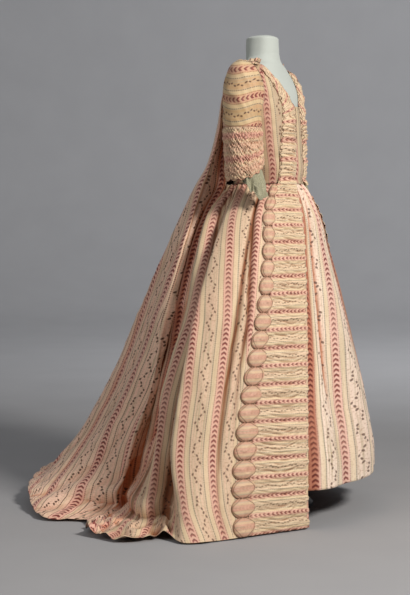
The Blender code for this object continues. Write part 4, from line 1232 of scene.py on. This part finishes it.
def bodice_piece(name, rows, side_name, stripe, columns, cells, seed):
    """A panel of the bodice, with the soft diagonal strain that a fitted cloth has."""
    path = bodice_path(rows, columns, cells)
    degrees, z = path[..., 0], path[..., 1]
    around = np.radians(degrees) * TORSO_RADIUS
    strain = 0.0014 * soft_noise(around + 0.5 * z, z, 0.035, 0.016, seed)
    strain = strain + 0.0012 * creases(around, z, 0.03, 0.02, seed + 1)
    grid = torso(degrees, z, bodice_lift(z) + WALL + strain * np.clip((z - 0.995) / 0.03, 0.0, 1.0))
    coordinates = body_coordinates(degrees, z, stripe)
    # Painted shade of the sleeve: full within eighteen degrees of the side, and gone forty-eight degrees
    # from it.
    shade = 0.45 * np.clip(1.6 - np.abs(degrees - 90.0) / 30.0, 0.0, 1.0)
    if side_name == "left":
        grid, coordinates, shade = mirrored(grid), coordinates[:, ::-1, ::-1], shade[:, ::-1]
    return add_sheet(f"{name}_cloth_{side_name}", grid, coordinates, bodice_silk_painted_shade, [f"{name}_{side_name}"],
                     ["form_torso"], shade=shade)


for side_name, seed in (("right", 71), ("left", 77)):
    bodice_piece("bodice_front", FRONT_ROWS, side_name, 57.0, 70, 12, seed)
    bodice_piece("bodice_back", BACK_ROWS, side_name, 118.0, 70, 12, seed + 3)

stomacher_places = even_places([14] * UNDERARM_ROW)[::-1]
edge = smooth_curve([r.inner for r in FRONT_ROWS], np.arange(len(FRONT_ROWS)), stomacher_places)
degrees = (edge[:, :1] - STOMACHER_GAP) * np.linspace(-1, 1, STOMACHER_COLUMNS)[None, :]
z = np.repeat(edge[:, 1:], STOMACHER_COLUMNS, axis=1)
stomacher_grid = torso(degrees, z, bodice_lift(z) + WALL)
add_sheet("stomacher_cloth", stomacher_grid, body_coordinates(degrees, z, 11.0), bodice_silk_painted_shade,
          ["stomacher"], ["form_torso"])

# %% [markdown]
# ## Sleeves
# An elbow sleeve is a bent tube that is set into a round armhole. Its rings lean, so each one has
# an outer and an inner point, and its front and back are drawn in at the armhole. The cloth is cut
# across the stripes, so the chevrons run round the arm.

# %% Sleeves
Ring = namedtuple("Ring", "outer inner half_depth y drawn_in")
SLEEVE = [
    Ring((-.1553, 1.322), (-.1533, 1.170), .055, -.002, .014),
    Ring((-.1840, 1.343), (-.1570, 1.166), .060, -.004, .008),
    Ring((-.2130, 1.338), (-.1570, 1.163), .061, -.007, .003),
    Ring((-.2400, 1.308), (-.1565, 1.160), .059, -.010, .0),
    Ring((-.2550, 1.262), (-.1560, 1.157), .057, -.012, .0),
    Ring((-.2600, 1.205), (-.1555, 1.153), .056, -.013, .0),
    Ring((-.2605, 1.1465), (-.1555, 1.1465), .055, -.014, .0),
]
LEFT_SLEEVE_BACK = 0.030
SLEEVE_COLUMNS = 120
ARM_RADIUS = 0.055        # metres, to turn an angle round the arm into cloth
STRIPE_TOP, STRIPE_ARCH = 1.311, 0.018


def hung_back(grid):
    """The left arm's points, moved back away from the armhole and everywhere below the underarm."""
    outward = np.clip((np.abs(grid[..., 0]) - 0.155) / 0.030, 0.0, 1.0)
    outward = outward * np.clip((1.375 - grid[..., 2]) / 0.080, 0.0, 1.0)
    below = np.clip((UNDERARM_Z - grid[..., 2]) / 0.110, 0.0, 1.0)
    moved = grid.copy()
    moved[..., 1] += LEFT_SLEEVE_BACK * np.maximum(outward, below)
    return moved


def round_arm(columns):
    """Metres of cloth round the arm, at each column and at the first again.

    It is the radius times the angle, counted from the join on the inside of the arm.
    """
    angle = np.arange(columns + 1) * 2 * math.pi / columns + math.pi
    return ARM_RADIUS * np.mod(angle, 2 * math.pi)


def arm_piece(name, side_name, grid, coordinates, material, rests_on):
    """A tube on one arm; the columns run from the outside round by the back, so it faces out."""
    if side_name == "left":
        grid = mirrored(hung_back(grid))
        grid = np.roll(grid, 1, axis=1)
        coordinates = coordinates[:, ::-1, ::-1]
    return add_sheet(f"{name}_cloth_{side_name}", grid, coordinates, material, [f"{name}_{side_name}"],
                     rests_on, closed=True)


ring_places = even_places([12] * (len(SLEEVE) - 1))
ring_knots = np.arange(len(SLEEVE))
ring_values = smooth_curve(
    np.array([[*r.outer, *r.inner, r.half_depth, r.y, r.drawn_in] for r in SLEEVE]), ring_knots, ring_places
)
arm_turn = -np.arange(SLEEVE_COLUMNS) * 2 * math.pi / SLEEVE_COLUMNS
outer_x, outer_z, inner_x, inner_z, half_depth, arm_y, drawn_in = (c[:, None] for c in ring_values.T)
sleeve_bare = np.stack([
    (outer_x + inner_x) / 2 + (outer_x - inner_x) / 2 * np.cos(arm_turn) + drawn_in * np.sin(arm_turn) ** 2,
    arm_y - half_depth * np.sin(arm_turn),
    (outer_z + inner_z) / 2 + (outer_z - inner_z) / 2 * np.cos(arm_turn),
], axis=-1)
arm_down = lengths_along(sleeve_bare, 0)
arm_round = round_arm(SLEEVE_COLUMNS)[:-1]
# The creases leave out the seam at the shoulder and the one at the cuff.
between_seams = np.clip((arm_down - 0.02) / 0.06, 0.0, 1.0) * np.clip((outer_z - 1.150) / 0.01, 0.0, 1.0)
sleeve_relief = between_seams * (
    0.0026 * soft_noise(arm_round + arm_down, arm_down, 0.030, 0.045, 83)
    + 0.0036 * (creases(arm_round + 0.4 * arm_down, arm_down, 0.032, 0.050, 84) - 0.4)
)
sleeve_grid = dressed(sleeve_bare, sleeve_relief, grid_normals(sleeve_bare, closed=True))
arched = sleeve_bare[..., 2] + STRIPE_ARCH * np.cos(arm_turn) ** 2 - STRIPE_ARCH
below_top = (STRIPE_TOP - arched) * 1.04
stripe_u = np.concatenate([below_top, below_top[:, :1]], axis=1)
stripe_v = np.repeat(round_arm(SLEEVE_COLUMNS)[None, :], len(sleeve_bare), axis=0)
for side_name in ("right", "left"):
    arm_piece("sleeve", side_name, sleeve_grid, span_coordinates(stripe_u, stripe_v), sleeve_silk,
              ["bodice_front_" + side_name])

# %% [markdown]
# ## Cuffs and net ruffles
# The cuff is a wide band that rows of running stitch have drawn into small puckers, and it hangs
# lower behind the elbow than in front. A crumpled net ruffle shows under it. The puckers are two
# wave trains that cross, bent by noise so that no two are alike.

# %% Cuffs
CUFF_TOP, CUFF_LOW, CUFF_RISE, CUFF_LEAN = 1.1462, 0.992, 0.046, -0.010
CUFF_BANDS, CUFF_GATHERS, CUFF_PUFF = 3, 7, 0.0060
CUFF_LENGTH, PUCKER_ROUND, PUCKER_DOWN = 0.14, 0.0082, 0.0125
GAUZE_TOP, GAUZE_LOW, GAUZE_RISE, GAUZE_LEAN = 1.055, 1.006, -0.066, -0.013
cuff_centre = ((SLEEVE[-1].inner[0] + SLEEVE[-1].outer[0]) / 2, SLEEVE[-1].y)
cuff_radius = ((SLEEVE[-1].inner[0] - SLEEVE[-1].outer[0]) / 2, SLEEVE[-1].half_depth)


def arm_tube(rows, columns, centre, radius, lean, top, low, swell):
    """A tube round the forearm: an ellipse that leans forward, between its top and its sloping hem."""
    turn = -np.arange(columns) * 2 * math.pi / columns
    share = np.linspace(0, 1, rows)[:, None]
    z = top * (1 - share) + low * share
    fall = (top - z) / (top - np.min(low))
    x = centre[0] - (radius[0] + swell) * np.cos(turn)
    y = centre[1] + lean * fall - (radius[1] + swell) * np.sin(turn)
    return np.stack(np.broadcast_arrays(x, y, z), axis=-1)


cuff_rows, cuff_columns, net_rows = 84, 232, 44
turn = -np.arange(cuff_columns) * 2 * math.pi / cuff_columns
share = np.linspace(0, 1, cuff_rows)[:, None]
round_cuff = round_arm(cuff_columns)[:-1]
down_cuff = share * CUFF_LENGTH
bands = CUFF_PUFF * np.abs(np.sin(math.pi * CUFF_BANDS * share))
bands = bands * (0.75 + 0.25 * np.cos(CUFF_GATHERS * turn))
bend = 0.006 * soft_noise(round_cuff, down_cuff, 0.02, 0.02, 91)
pucker = np.sin(2 * math.pi * (round_cuff + bend) / PUCKER_ROUND)
pucker = pucker * np.sin(2 * math.pi * (down_cuff + 0.5 * bend) / PUCKER_DOWN)
ruche = creases(round_cuff + 0.7 * down_cuff, down_cuff, 0.0060, 0.011, 92)
swell = bands * 0.7 + 0.0015 * pucker + 0.0038 * (ruche - 0.4)
swell = swell * np.clip(share / 0.03, 0.25, 1.0)
forward = 0.5 + 0.5 * np.sin(turn - math.pi / 4)
cuff_low = CUFF_LOW + CUFF_RISE * forward ** 2 + 0.003 * np.cos(13 * turn)
cuff_grid = arm_tube(cuff_rows, cuff_columns, cuff_centre, cuff_radius, CUFF_LEAN, CUFF_TOP, cuff_low, swell)
# The print follows the gathered cloth, which is about one and a half times as long as it shows.
cuff_u = np.repeat(down_cuff * 1.5 + 0.055, cuff_columns + 1, axis=1)
cuff_u = cuff_u + 0.010 * np.append(pucker, pucker[:, :1], axis=1)
cuff_v = np.repeat(round_arm(cuff_columns)[None, :] * 1.6, cuff_rows, axis=0)

net_radius = (cuff_radius[0] - WALL - 0.0090, cuff_radius[1] - WALL - 0.0040)
net_centre = (cuff_centre[0] - 0.0032, cuff_centre[1] - 0.0070)
net_share = np.linspace(0, 1, net_rows)[:, None]
net_ripple = 0.008 * np.cos(11 * turn + 2 * np.sin(3 * turn)) * net_share ** 1.5
net_crumple = creases(round_cuff, net_share * 0.1, 0.016, 0.022, 95) - 0.4
net_ripple = net_ripple + 0.0110 * net_crumple * net_share
net_front = (0.5 + 0.5 * np.cos(turn - math.radians(75))) ** 3.5
ragged = 0.007 * np.cos(13 * turn + 2 * np.sin(2 * turn)) * (0.3 + net_front)
net_low = GAUZE_LOW + GAUZE_RISE * net_front + ragged
net_grid = arm_tube(
    net_rows, cuff_columns, net_centre, net_radius, GAUZE_LEAN, GAUZE_TOP, net_low, net_ripple
)
net_u = np.repeat(round_arm(cuff_columns)[None, :] * 1.4, net_rows, axis=0)
net_v = np.repeat(-net_share * 0.11, cuff_columns + 1, axis=1)


NET_PITCH = 0.0024
NET_LIGHT, NET_DARK, NET_HOLE = (0.66, 0.63, 0.44), (0.34, 0.32, 0.20), (0.12, 0.11, 0.07)


def crumpled_net(name):
    """A fine net of crossed threads over a mottled grey green, whose holes read as darker spots."""
    made, tree, shader = new_material(name, roughness=0.85, specular=0.15, sheen=0.2)
    u, v, both = cloth_place(tree)
    hole = u.distance_to_repeat(NET_PITCH).size().within(0.0006, 0.0004)
    hole = hole * v.distance_to_repeat(NET_PITCH).size().within(0.0006, 0.0004)
    color = paint(tree, NET_LIGHT, NET_DARK, noise_value(tree, both, 60.0, 4.0))
    # The holes are painted dark, as painted shade for what is seen through them.
    color = paint(tree, color, NET_HOLE, hole * 0.7)
    tree.links.new(color, shader.inputs["Base Color"])
    raise_surface(tree, shader, hole * -1.0 + noise_value(tree, both, 120.0, 2.0), 0.0010, 0.6)
    return made


gauze = crumpled_net("grey_net")
for side_name in ("right", "left"):
    arm_piece("sleeve_cuff", side_name, cuff_grid, span_coordinates(cuff_u, cuff_v), cuff_silk,
              ["sleeve_" + side_name])
    arm_piece("sleeve_gauze", side_name, net_grid, span_coordinates(net_u, net_v), gauze,
              ["sleeve_cuff_" + side_name])


# %% [markdown]
# ## Gathered bands
# Three trims are made alike: a strip is cut much longer than its place, gathered, and sewn down
# along both sides. The robing runs over the edges of the bodice, a broad band goes down each front
# edge of the skirt, and a ruffle stands round the neck. Each one is computed on the surface that
# carries it and moved out from it.

# %% Robings
Band = namedtuple("Band", "z inner outer")
ROBING = [
    Band(0.974, 15.0, 50.0),
    Band(1.080, 10.0, 43.0),
    Band(1.150, 7.0, 36.0),
    Band(1.210, 6.0, 32.0),
    Band(1.262, 18.0, 38.0),
    Band(1.300, 30.0, 47.0),
    Band(1.326, 43.0, 62.0),
]
ROBING_HEIGHT, ROBING_GATHERS = 0.0080, 9
ROBING_ROWS, ROBING_COLUMNS, ROBING_WIDTH = 230, 26, 0.055
CLEAR = 0.0012            # clearance under a trim


def gathers_across(down, across, pitch, depth, seed, slant=0.0):
    """Fine pleats across a strip, in metres out of it.

    They are the 0.7th power of the size of a sine down the strip, slanted and bent by noise, times
    a slower noise that makes them deeper in some places.
    """
    bent = down + slant * across + 0.3 * pitch * soft_noise(across, down, 0.02, 0.05, seed)
    heavy = 0.65 + 0.35 * soft_noise(across, down, 0.03, 0.04, seed + 1)
    return depth * heavy * np.abs(np.sin(math.pi * bent / pitch)) ** 0.7


robing_z = np.linspace(ROBING[-1].z, ROBING[0].z, ROBING_ROWS)
robing_edges = at_heights(ROBING, robing_z)
share = np.linspace(0, 1, ROBING_COLUMNS)[None, :]
degrees = robing_edges[:, :1] * (1 - share) + robing_edges[:, 1:] * share
heights = np.repeat(robing_z[:, None], ROBING_COLUMNS, axis=1)
rising = (heights - ROBING[0].z) / (ROBING[-1].z - ROBING[0].z)
arch = np.sin(math.pi * (share * 0.94 + 0.03)) ** 0.55
wave = 0.80 + 0.20 * np.cos(2 * math.pi * (rising * ROBING_GATHERS + 0.35 * share))
ends = np.minimum(1.0, np.minimum(rising, 1 - rising) * ROBING_GATHERS + 0.45)
robing_lift = bodice_lift(heights) + WALL + CLEAR + ROBING_HEIGHT * arch * wave * ends
strip_across = share * ROBING_WIDTH
slanted = 1.6 * hem_ramp(heights, 1.15, 1.24)
pleats = gathers_across(heights, strip_across, 0.0115, 0.0062, 101, -0.25 - slanted)
robing_lift = robing_lift + pleats * arch - 0.0022
robing_lift = robing_lift + 0.0030 * (creases(strip_across, heights, 0.02, 0.009, 105) - 0.4) * arch
# At the waist the robing comes out over the skirts, and at the neck its inner edge lies flatter.
robing_lift = robing_lift + 0.010 * np.clip((0.996 - heights) / 0.022, 0.0, 1.0)
neck_edge = np.clip((0.30 - share) / 0.30, 0.0, 1.0) * hem_ramp(heights, 1.20, 1.24)
robing_lift = robing_lift - 0.0048 * neck_edge
robing_grid = torso(degrees, heights, robing_lift)
robing_cells = span_coordinates(
    (1.34 - heights - slanted * strip_across) * 1.6, np.repeat(strip_across, ROBING_ROWS, axis=0)
)
for side_name in ("right", "left"):
    grid = robing_grid if side_name == "right" else mirrored(robing_grid)
    cells = robing_cells if side_name == "right" else robing_cells[:, ::-1, ::-1]
    add_sheet("robing_cloth_" + side_name, grid, cells, trim_silk, ["robing_" + side_name],
              ["bodice_front_" + side_name])

# %% [markdown]
# ## The ruffle round the neck
# A narrow strip is gathered along its middle, so both of its edges stand out in waves. The neckline
# is a curve in degrees and heights from the shoulder to the centre back, and the strip is ruled
# across it. The torso's own function puts it in place, as it does with the robing.

# %% Ruffle round the neck
NECKLINE = [(68.0, 1.341), (90.0, 1.346), (128.0, 1.333), (160.0, 1.317), (180.0, 1.308)]
RUFFLE_WAVES, RUFFLE_WIDTH = 10, 0.018
RUFFLE_ROWS, RUFFLE_COLUMNS = 13, 260
around = np.linspace(0, len(NECKLINE) - 1, RUFFLE_COLUMNS)
neckline = smooth_curve(NECKLINE, np.arange(len(NECKLINE)), around)[None, :, :]
spread = np.linspace(0.5, -0.5, RUFFLE_ROWS)[:, None]
neck_wave = 0.5 + 0.5 * np.cos(math.pi * 2 * RUFFLE_WAVES * around / (len(NECKLINE) - 1))
neck_lift = BODICE_LIFT + WALL + 0.0003 + np.abs(spread) * 2 * (0.004 + 0.005 * neck_wave)
neck_lift = neck_lift + 0.0014 * np.abs(np.sin(around * 43)) * np.abs(spread) * 2
ruffle_z = neckline[..., 1] + RUFFLE_WIDTH * spread + 0.0012 * np.sin(around * 21) * np.sign(spread)
neck_grid = torso(neckline[..., 0], ruffle_z, neck_lift)
# The two halves end just short of each other at the centre back.
neck_grid[:, -1, 0] = -0.0003
neck_cells = span_coordinates(
    np.repeat(around[None, :] * 0.11, RUFFLE_ROWS, axis=0),
    np.repeat(-spread * RUFFLE_WIDTH, RUFFLE_COLUMNS, axis=1),
)
for side_name in ("right", "left"):
    grid = neck_grid if side_name == "right" else mirrored(neck_grid)
    cells = neck_cells if side_name == "right" else neck_cells[:, ::-1, ::-1]
    add_sheet("neck_ruffle_cloth_" + side_name, grid, cells, trim_silk, ["neck_ruffle_" + side_name],
              ["bodice_back_" + side_name])

# %% [markdown]
# ## Bands and puffs down the skirt's front edges
# The broad band has thirty gathers, with finer pleats over them, and its front edge is scalloped
# because the gathers pull it. Its print runs across, since the strip was cut along the cloth.
# Beside it a narrow strip is tied at even distances into twenty puffs. A puff's height follows the
# sine between its two ties, to the power of 0.6 so that it is plump, and it grows towards the hem.

# %% Trims of the skirt
TRIM_GATHERS, TRIM_WAVE = 30, 0.0045
PUFF_COUNT, PUFF_HEIGHT = 20, 0.0120


def strip_on(whole, rows, columns):
    """Points, normals and distances down of a strip of the gown, at given columns.

    The rows are even along the line where the band and the strip of puffs meet.
    """
    run = lengths_along(whole[:, BAND_COLUMN], 0)
    row_places = np.interp(np.linspace(0, run[-1], rows), run, np.arange(len(whole)))[:, None]
    places = np.broadcast_arrays(row_places, columns)
    points = sample(whole, *places)
    normals = unit(sample(grid_normals(whole), *places))
    return points, normals, lengths_along(points, 0)


def skirt_band(side_name, whole, seed):
    """The broad gathered band from the skirt's front edge to the strip of puffs.

    It lies over the skirt by the clearance, a cosine wave for each gather, the fine pleats and the
    creases, all of them lower towards its two edges. Between the waves its front edge is drawn in.
    """
    rows, columns = 520, 26
    share = np.linspace(0, 1, columns)[None, :]
    phase = np.linspace(0, 1, rows)[:, None] * TRIM_GATHERS
    wave = 0.5 - 0.5 * np.cos(2 * math.pi * phase)
    pull = 0.055 * (1 - wave) * (1 - share) ** 3
    points, normals, down = strip_on(whole, rows, (share * 1.10 + pull) * BAND_COLUMN)
    middle = np.sin(math.pi * (0.10 + 0.82 * share)) ** 0.8
    across = lengths_along(points, 1)
    lift = CLEAR + TRIM_WAVE * wave * middle
    lift = lift + gathers_across(down, across, 0.0105, 0.0052, seed, 0.10) * (0.35 + 0.65 * middle)
    lift = lift + 0.0034 * (creases(across, down, 0.026, 0.008, seed + 3) - 0.3) * middle
    cells = span_coordinates(phase * (PUFF_COUNT / TRIM_GATHERS) * REPEAT + 0.25 * lift, across)
    grid = points + normals * np.broadcast_to(lift, across.shape)[..., None]
    if side_name == "left":
        grid, cells = mirrored(grid), cells[:, ::-1, ::-1]
    add_sheet("skirt_band_cloth_" + side_name, grid, cells, trim_silk, ["skirt_band_" + side_name],
              ["skirt_side_cloth_" + side_name])


def puff_strip(side_name, whole, seed):
    """The strip of puffs beside the band; returns its grid, before it is mirrored, for the braid.

    A puff's height is the sine between the ties to the power of 0.6, times the root of the sine
    across the strip. At the ties the strip is drawn in to a third of its width.
    """
    rows, columns = 561, 21
    share = np.linspace(0, 1, columns)[None, :]
    phase = np.linspace(0, 1, rows)[:, None] * PUFF_COUNT
    full = np.abs(np.sin(math.pi * phase))
    narrow = 0.34 + 0.66 * full ** 0.5
    place = BAND_COLUMN + (0.5 + (share - 0.5) * narrow) * (PUFF_COLUMN - BAND_COLUMN)
    points, normals, _ = strip_on(whole, rows, place)
    growth = np.linspace(0.55, 1.0, rows)[:, None]
    dome = np.sin(math.pi * share) ** 0.5
    plump = 0.85 + 0.15 * soft_noise(np.zeros_like(phase), phase, 1.0, 1.0, seed + 2)
    lift = CLEAR + 0.0005 + PUFF_HEIGHT * growth * full ** 0.6 * dome * plump
    # Small pleats run out from the middle of each puff to its rim, and creases cross its top.
    rim = 1.0 - full ** 0.7 * dome ** 1.4
    rays = np.abs(np.sin(11 * np.arctan2(np.cos(math.pi * phase), 2 * share - 1) / 2))
    wrinkles = creases(share, phase, 0.22, 0.30, seed + 1) - 0.3
    lift = lift + 0.0026 * rays * rim * dome + 0.0034 * wrinkles * full * dome
    # Painted shade round each puff's rim and at the ties, deeper on the side away from the band.
    shade = 0.45 * rim ** 2 * (0.4 + 0.6 * share)
    across = lengths_along(points, 1)
    cells = span_coordinates(np.broadcast_to((phase - 0.5) * REPEAT, across.shape), across * 1.2)
    grid = points + normals * lift[..., None]
    flipped = side_name == "left"
    add_sheet("puff_strip_cloth_" + side_name, mirrored(grid) if flipped else grid,
              cells[:, ::-1, ::-1] if flipped else cells, puff_silk, ["puff_strip_" + side_name],
              ["skirt_side_cloth_" + side_name],
              shade=shade[:, ::-1] if flipped else shade)
    return grid


skirt_band("right", whole_right, 111)
skirt_band("left", whole_left, 117)
puffs = {"right": puff_strip("right", whole_right, 121), "left": puff_strip("left", whole_left, 127)}

# %% [markdown]
# ## Gimp braid
# Gimp is a stiff thread wound with silk. It is laid in loops round the puffs and along the edges
# of the trims. Each run is a tube along a path, whose radius swells and shrinks so that it reads
# as a row of small beads. All the runs are computed as whole arrays.

# %% Braid
THREAD_PITCH = 0.0026
THREAD_MOTTLE = (0.30, 0.16, 0.09)


def thread_cover(name, dark, light):
    """Wound thread: two colours in turn along the braid."""
    made, tree, shader = new_material(name, roughness=0.6, specular=0.35, sheen=0.15)
    u, v, both = cloth_place(tree)
    turns = (u + v).distance_to_repeat(THREAD_PITCH).size().within(0.0004, 0.0006)
    color = paint(tree, dark, light, turns * 0.55)
    color = paint(tree, color, THREAD_MOTTLE, noise_value(tree, both, 70.0) * 0.5)
    tree.links.new(color, shader.inputs["Base Color"])
    raise_surface(tree, shader, turns, 0.0004, 0.5)
    return made


gimp_thread = thread_cover("gimp_thread", (0.100, 0.060, 0.040), (0.46, 0.30, 0.17))
BRAID_SIDES = 6
BEAD_PITCH = 0.0042


def braid(name, path, out, radius, side_name):
    """A beaded tube along a path whose outward direction is known at every point.

    The ring at each point is the outward direction and the sideways one, by sine and cosine,
    times a radius that swells once for each bead.
    """
    along = unit(np.gradient(path, axis=0))
    out = unit(out - (out * along).sum(axis=1, keepdims=True) * along)
    sideways = np.cross(along, out)
    run = np.concatenate([[0.0], np.cumsum(np.linalg.norm(np.diff(path, axis=0), axis=1))])
    turn = -np.arange(BRAID_SIDES) * 2 * math.pi / BRAID_SIDES
    bead = radius * (0.62 + 0.38 * np.abs(np.sin(math.pi * run / BEAD_PITCH)))
    ring = sideways[:, None] * np.cos(turn)[None, :, None] + out[:, None] * np.sin(turn)[None, :, None]
    grid = path[:, None] + ring * bead[:, None, None]
    u = np.repeat(run[:, None], BRAID_SIDES + 1, axis=1)
    v = np.repeat(np.linspace(0, 0.006, BRAID_SIDES + 1)[None, :], len(path), axis=0)
    cells = span_coordinates(u, v)
    if side_name == "left":
        grid, cells = mirrored(grid), cells[:, ::-1, ::-1]
    mesh = grid_mesh(name, grid, cells, closed=True)
    close_ends(mesh, len(grid), BRAID_SIDES)
    return add_piece(name, mesh, gimp_thread, [])


def even_path(points, out, step=0.0014):
    """The path and its outward directions, sampled again at even steps."""
    run = np.concatenate([[0.0], np.cumsum(np.linalg.norm(np.diff(points, axis=0), axis=1))])
    at = np.linspace(0, run[-1], max(int(run[-1] / step), 8))
    both = np.concatenate([points, out], axis=1)
    both = np.stack([np.interp(at, run, column) for column in both.T], axis=1)
    return both[:, :3], unit(both[:, 3:])


def braid_on(name, grid, rows, columns, radius, side_name, height=0.6):
    """A braid along rows and columns of a trim's grid, resting on its surface."""
    points = sample(grid, rows, columns)
    out = unit(sample(grid_normals(grid), rows, columns))
    path, out = even_path(points, out)
    braid(name, path + out * radius * height, out, radius, side_name)


# Round the puffs: two wavy lines that swing out at each puff and meet at each tie.
for side_name, grid in puffs.items():
    rows = np.linspace(0, len(grid) - 1, 2400)
    swing = np.abs(np.sin(math.pi * rows / (len(grid) - 1) * PUFF_COUNT))
    last = grid.shape[1] - 1
    for mark, reach in (("outer", 0.45), ("inner", -0.45)):
        loose = reach * (1.0 + 0.10 * np.sin(rows / 9.1) + 0.06 * np.sin(rows / 3.7))
        columns = np.clip(0.5 + loose * swing ** 0.35, 0.01, 0.99) * last
        braid_on(f"puff_braid_{mark}_{side_name}", grid, rows, columns, 0.0007, side_name)

# Along both edges of the robing, round the sleeve's head and along the neck ruffle.
for side_name in ("right", "left"):
    rows = np.linspace(2, ROBING_ROWS - 3, 400)
    wavy = 23.6 + 1.0 * np.sin(rows / 2.0) + 0.5 * np.sin(rows / 0.77)
    braid_on(f"robing_braid_{side_name}", robing_grid, rows, wavy, 0.0009, side_name)
    inner = 1.4 + 0.9 * np.sin(rows / 1.7) + 0.4 * np.sin(rows / 0.6)
    braid_on(f"robing_neck_braid_{side_name}", robing_grid, rows[:260], inner[:260], 0.0010, side_name)
    arm_grid = sleeve_grid if side_name == "right" else hung_back(sleeve_grid)
    arm_grid = np.roll(arm_grid, SLEEVE_COLUMNS // 2, axis=1)
    head = np.linspace(36, 92, 420)
    wavy = 11.0 + 1.3 * np.sin(head * 1.9) + 0.8 * np.sin(head * 4.1)
    braid_on(f"sleeve_head_braid_{side_name}", arm_grid, wavy, head, 0.0012, side_name)
    columns = np.linspace(2, RUFFLE_COLUMNS - 3, 400)
    wavy = 6 + 1.2 * np.sin(columns / 2.4)
    braid_on(f"neck_braid_{side_name}", neck_grid, wavy, columns, 0.0015, side_name)

# %% [markdown]
# ## Pole and base
# The pole and the round base of the display stand are plain painted steel, so they keep their
# solids and only get a finish: satin grey with a slight mottle.

# %% Stand
stand_grey, tree, shader = new_material("stand_grey", roughness=0.42, specular=0.4)
place = tree.nodes.new("ShaderNodeTexCoord").outputs["Object"]
mottle = noise_value(tree, place, 60.0, 4.0)
tree.links.new(paint(tree, (0.10, 0.10, 0.105), (0.075, 0.075, 0.08), mottle), shader.inputs["Base Color"])
shader.inputs["Metallic"].default_value = 0.7
raise_surface(tree, shader, noise_value(tree, place, 900.0, 2.0), 0.0003, 0.25)
for name in ("stand_pole", "stand_base"):
    bpy.data.objects[name].material_slots[0].material = stand_grey
print("stand:", stand_grey.name)

# %% [markdown]
# ## Floor
# A plain round floor curves up into a backdrop, so there is no horizon. It is a profile spun round
# the gown's own axis, and it is staging, not a piece of the part.

# %% Floor
BACKDROP = [(0.01, 0.0), (3.0, 0.0), (6.5, 0.0), (8.0, 0.25), (9.1, 1.1), (9.5, 2.4), (9.6, 4.5), (9.6, 6.5)]
FLOOR_COLUMNS = 128
profile = smooth_curve(BACKDROP, np.arange(len(BACKDROP)), even_places([3, 4, 8, 8, 8, 6, 4]))
profile[:, 1] = np.maximum(profile[:, 1], 0.0)
spin = np.arange(FLOOR_COLUMNS) * 2 * math.pi / FLOOR_COLUMNS
floor_grid = np.stack(np.broadcast_arrays(
    profile[:, :1] * np.cos(spin), profile[:, :1] * np.sin(spin), profile[:, 1:]
), axis=-1)
floor_cells = np.zeros((len(profile), FLOOR_COLUMNS, 2, 2))
floor_mesh = grid_mesh("floor", floor_grid, floor_cells, closed=True)
floor = bpy.data.objects.new("floor", floor_mesh)
floor.location.z = -0.0015
bpy.context.scene.collection.objects.link(floor)
floor_paint, tree, shader = new_material("pale_floor", roughness=0.85, specular=0.1)
place = tree.nodes.new("ShaderNodeTexCoord").outputs["Object"]
floor_color = paint(tree, (0.39, 0.39, 0.40), (0.35, 0.35, 0.36), noise_value(tree, place, 3.0, 4.0))
tree.links.new(floor_color, shader.inputs["Base Color"])
floor_mesh.materials.append(floor_paint)
print("floor:", floor_grid.shape[:2])

# %% [markdown]
# ## Light and camera
# The main light is a soft one from the camera's right and above, as in a museum gallery. A wide dim
# one on its left fills the shade, and a third lights the backdrop. The camera stands four and a half
# metres away at about waist height and looks slightly down.

# %% Light and camera
def place_light(name, position, target, energy, size, color):
    """A round area light at a position, turned towards its target."""
    data = bpy.data.lights.new(name, "AREA")
    data.energy = energy
    data.shape = "DISK"
    data.size = size
    data.color = color
    lamp = bpy.data.objects.new(name, data)
    lamp.location = position
    aim = Vector(target) - Vector(position)
    lamp.rotation_euler = aim.to_track_quat("-Z", "Y").to_euler()
    bpy.context.scene.collection.objects.link(lamp)


VIEW = np.array([-0.906, -0.423, 0.0])      # from the gown towards the camera
ACROSS = np.array([0.423, -0.906, 0.0])     # to the camera's right
key_at = tuple(3.0 * VIEW + 2.4 * ACROSS + [0, 0, 3.2])
fill_at = tuple(2.0 * VIEW - 3.4 * ACROSS + [0, 0, 2.4])
wall_at = tuple(-2.5 * VIEW + 1.5 * ACROSS + [0, 0, 4.5])
wall_aim = tuple(-9.0 * VIEW + 2.5 * ACROSS + [0, 0, 2.6])
place_light("key", key_at, (0, 0, 0.75), 205, 1.0, (1.0, 0.96, 0.91))
place_light("fill", fill_at, (0, 0, 0.8), 30, 3.0, (1.0, 0.97, 0.94))
place_light("wall", wall_at, wall_aim, 260, 3.0, (0.97, 0.98, 1.0))
world = bpy.data.worlds.new("studio")
world.use_nodes = True
world.node_tree.nodes["Background"].inputs["Color"].default_value = (0.88, 0.89, 0.91, 1.0)
world.node_tree.nodes["Background"].inputs["Strength"].default_value = 0.29
bpy.context.scene.world = world

CAMERA_DISTANCE, CAMERA_ASIDE, CAMERA_HEIGHT, CAMERA_DIP = 4.5, -0.184, 0.9, 3.335
camera_data = bpy.data.cameras.new("camera")
camera_data.lens = 88.76
camera_data.sensor_width = 36.0
camera_data.sensor_fit = "AUTO"
camera = bpy.data.objects.new("camera", camera_data)
camera.location = tuple(CAMERA_DISTANCE * VIEW + CAMERA_ASIDE * ACROSS + [0, 0, CAMERA_HEIGHT])
dip = math.radians(CAMERA_DIP)
aim = Vector(tuple(-VIEW * math.cos(dip))) + Vector((0, 0, -math.sin(dip)))
camera.rotation_euler = aim.to_track_quat("-Z", "Y").to_euler()
bpy.context.scene.collection.objects.link(camera)
bpy.context.scene.camera = camera
bpy.context.scene.view_settings.view_transform = "Standard"
print("camera at", [round(v, 3) for v in camera.location], "with three lights")
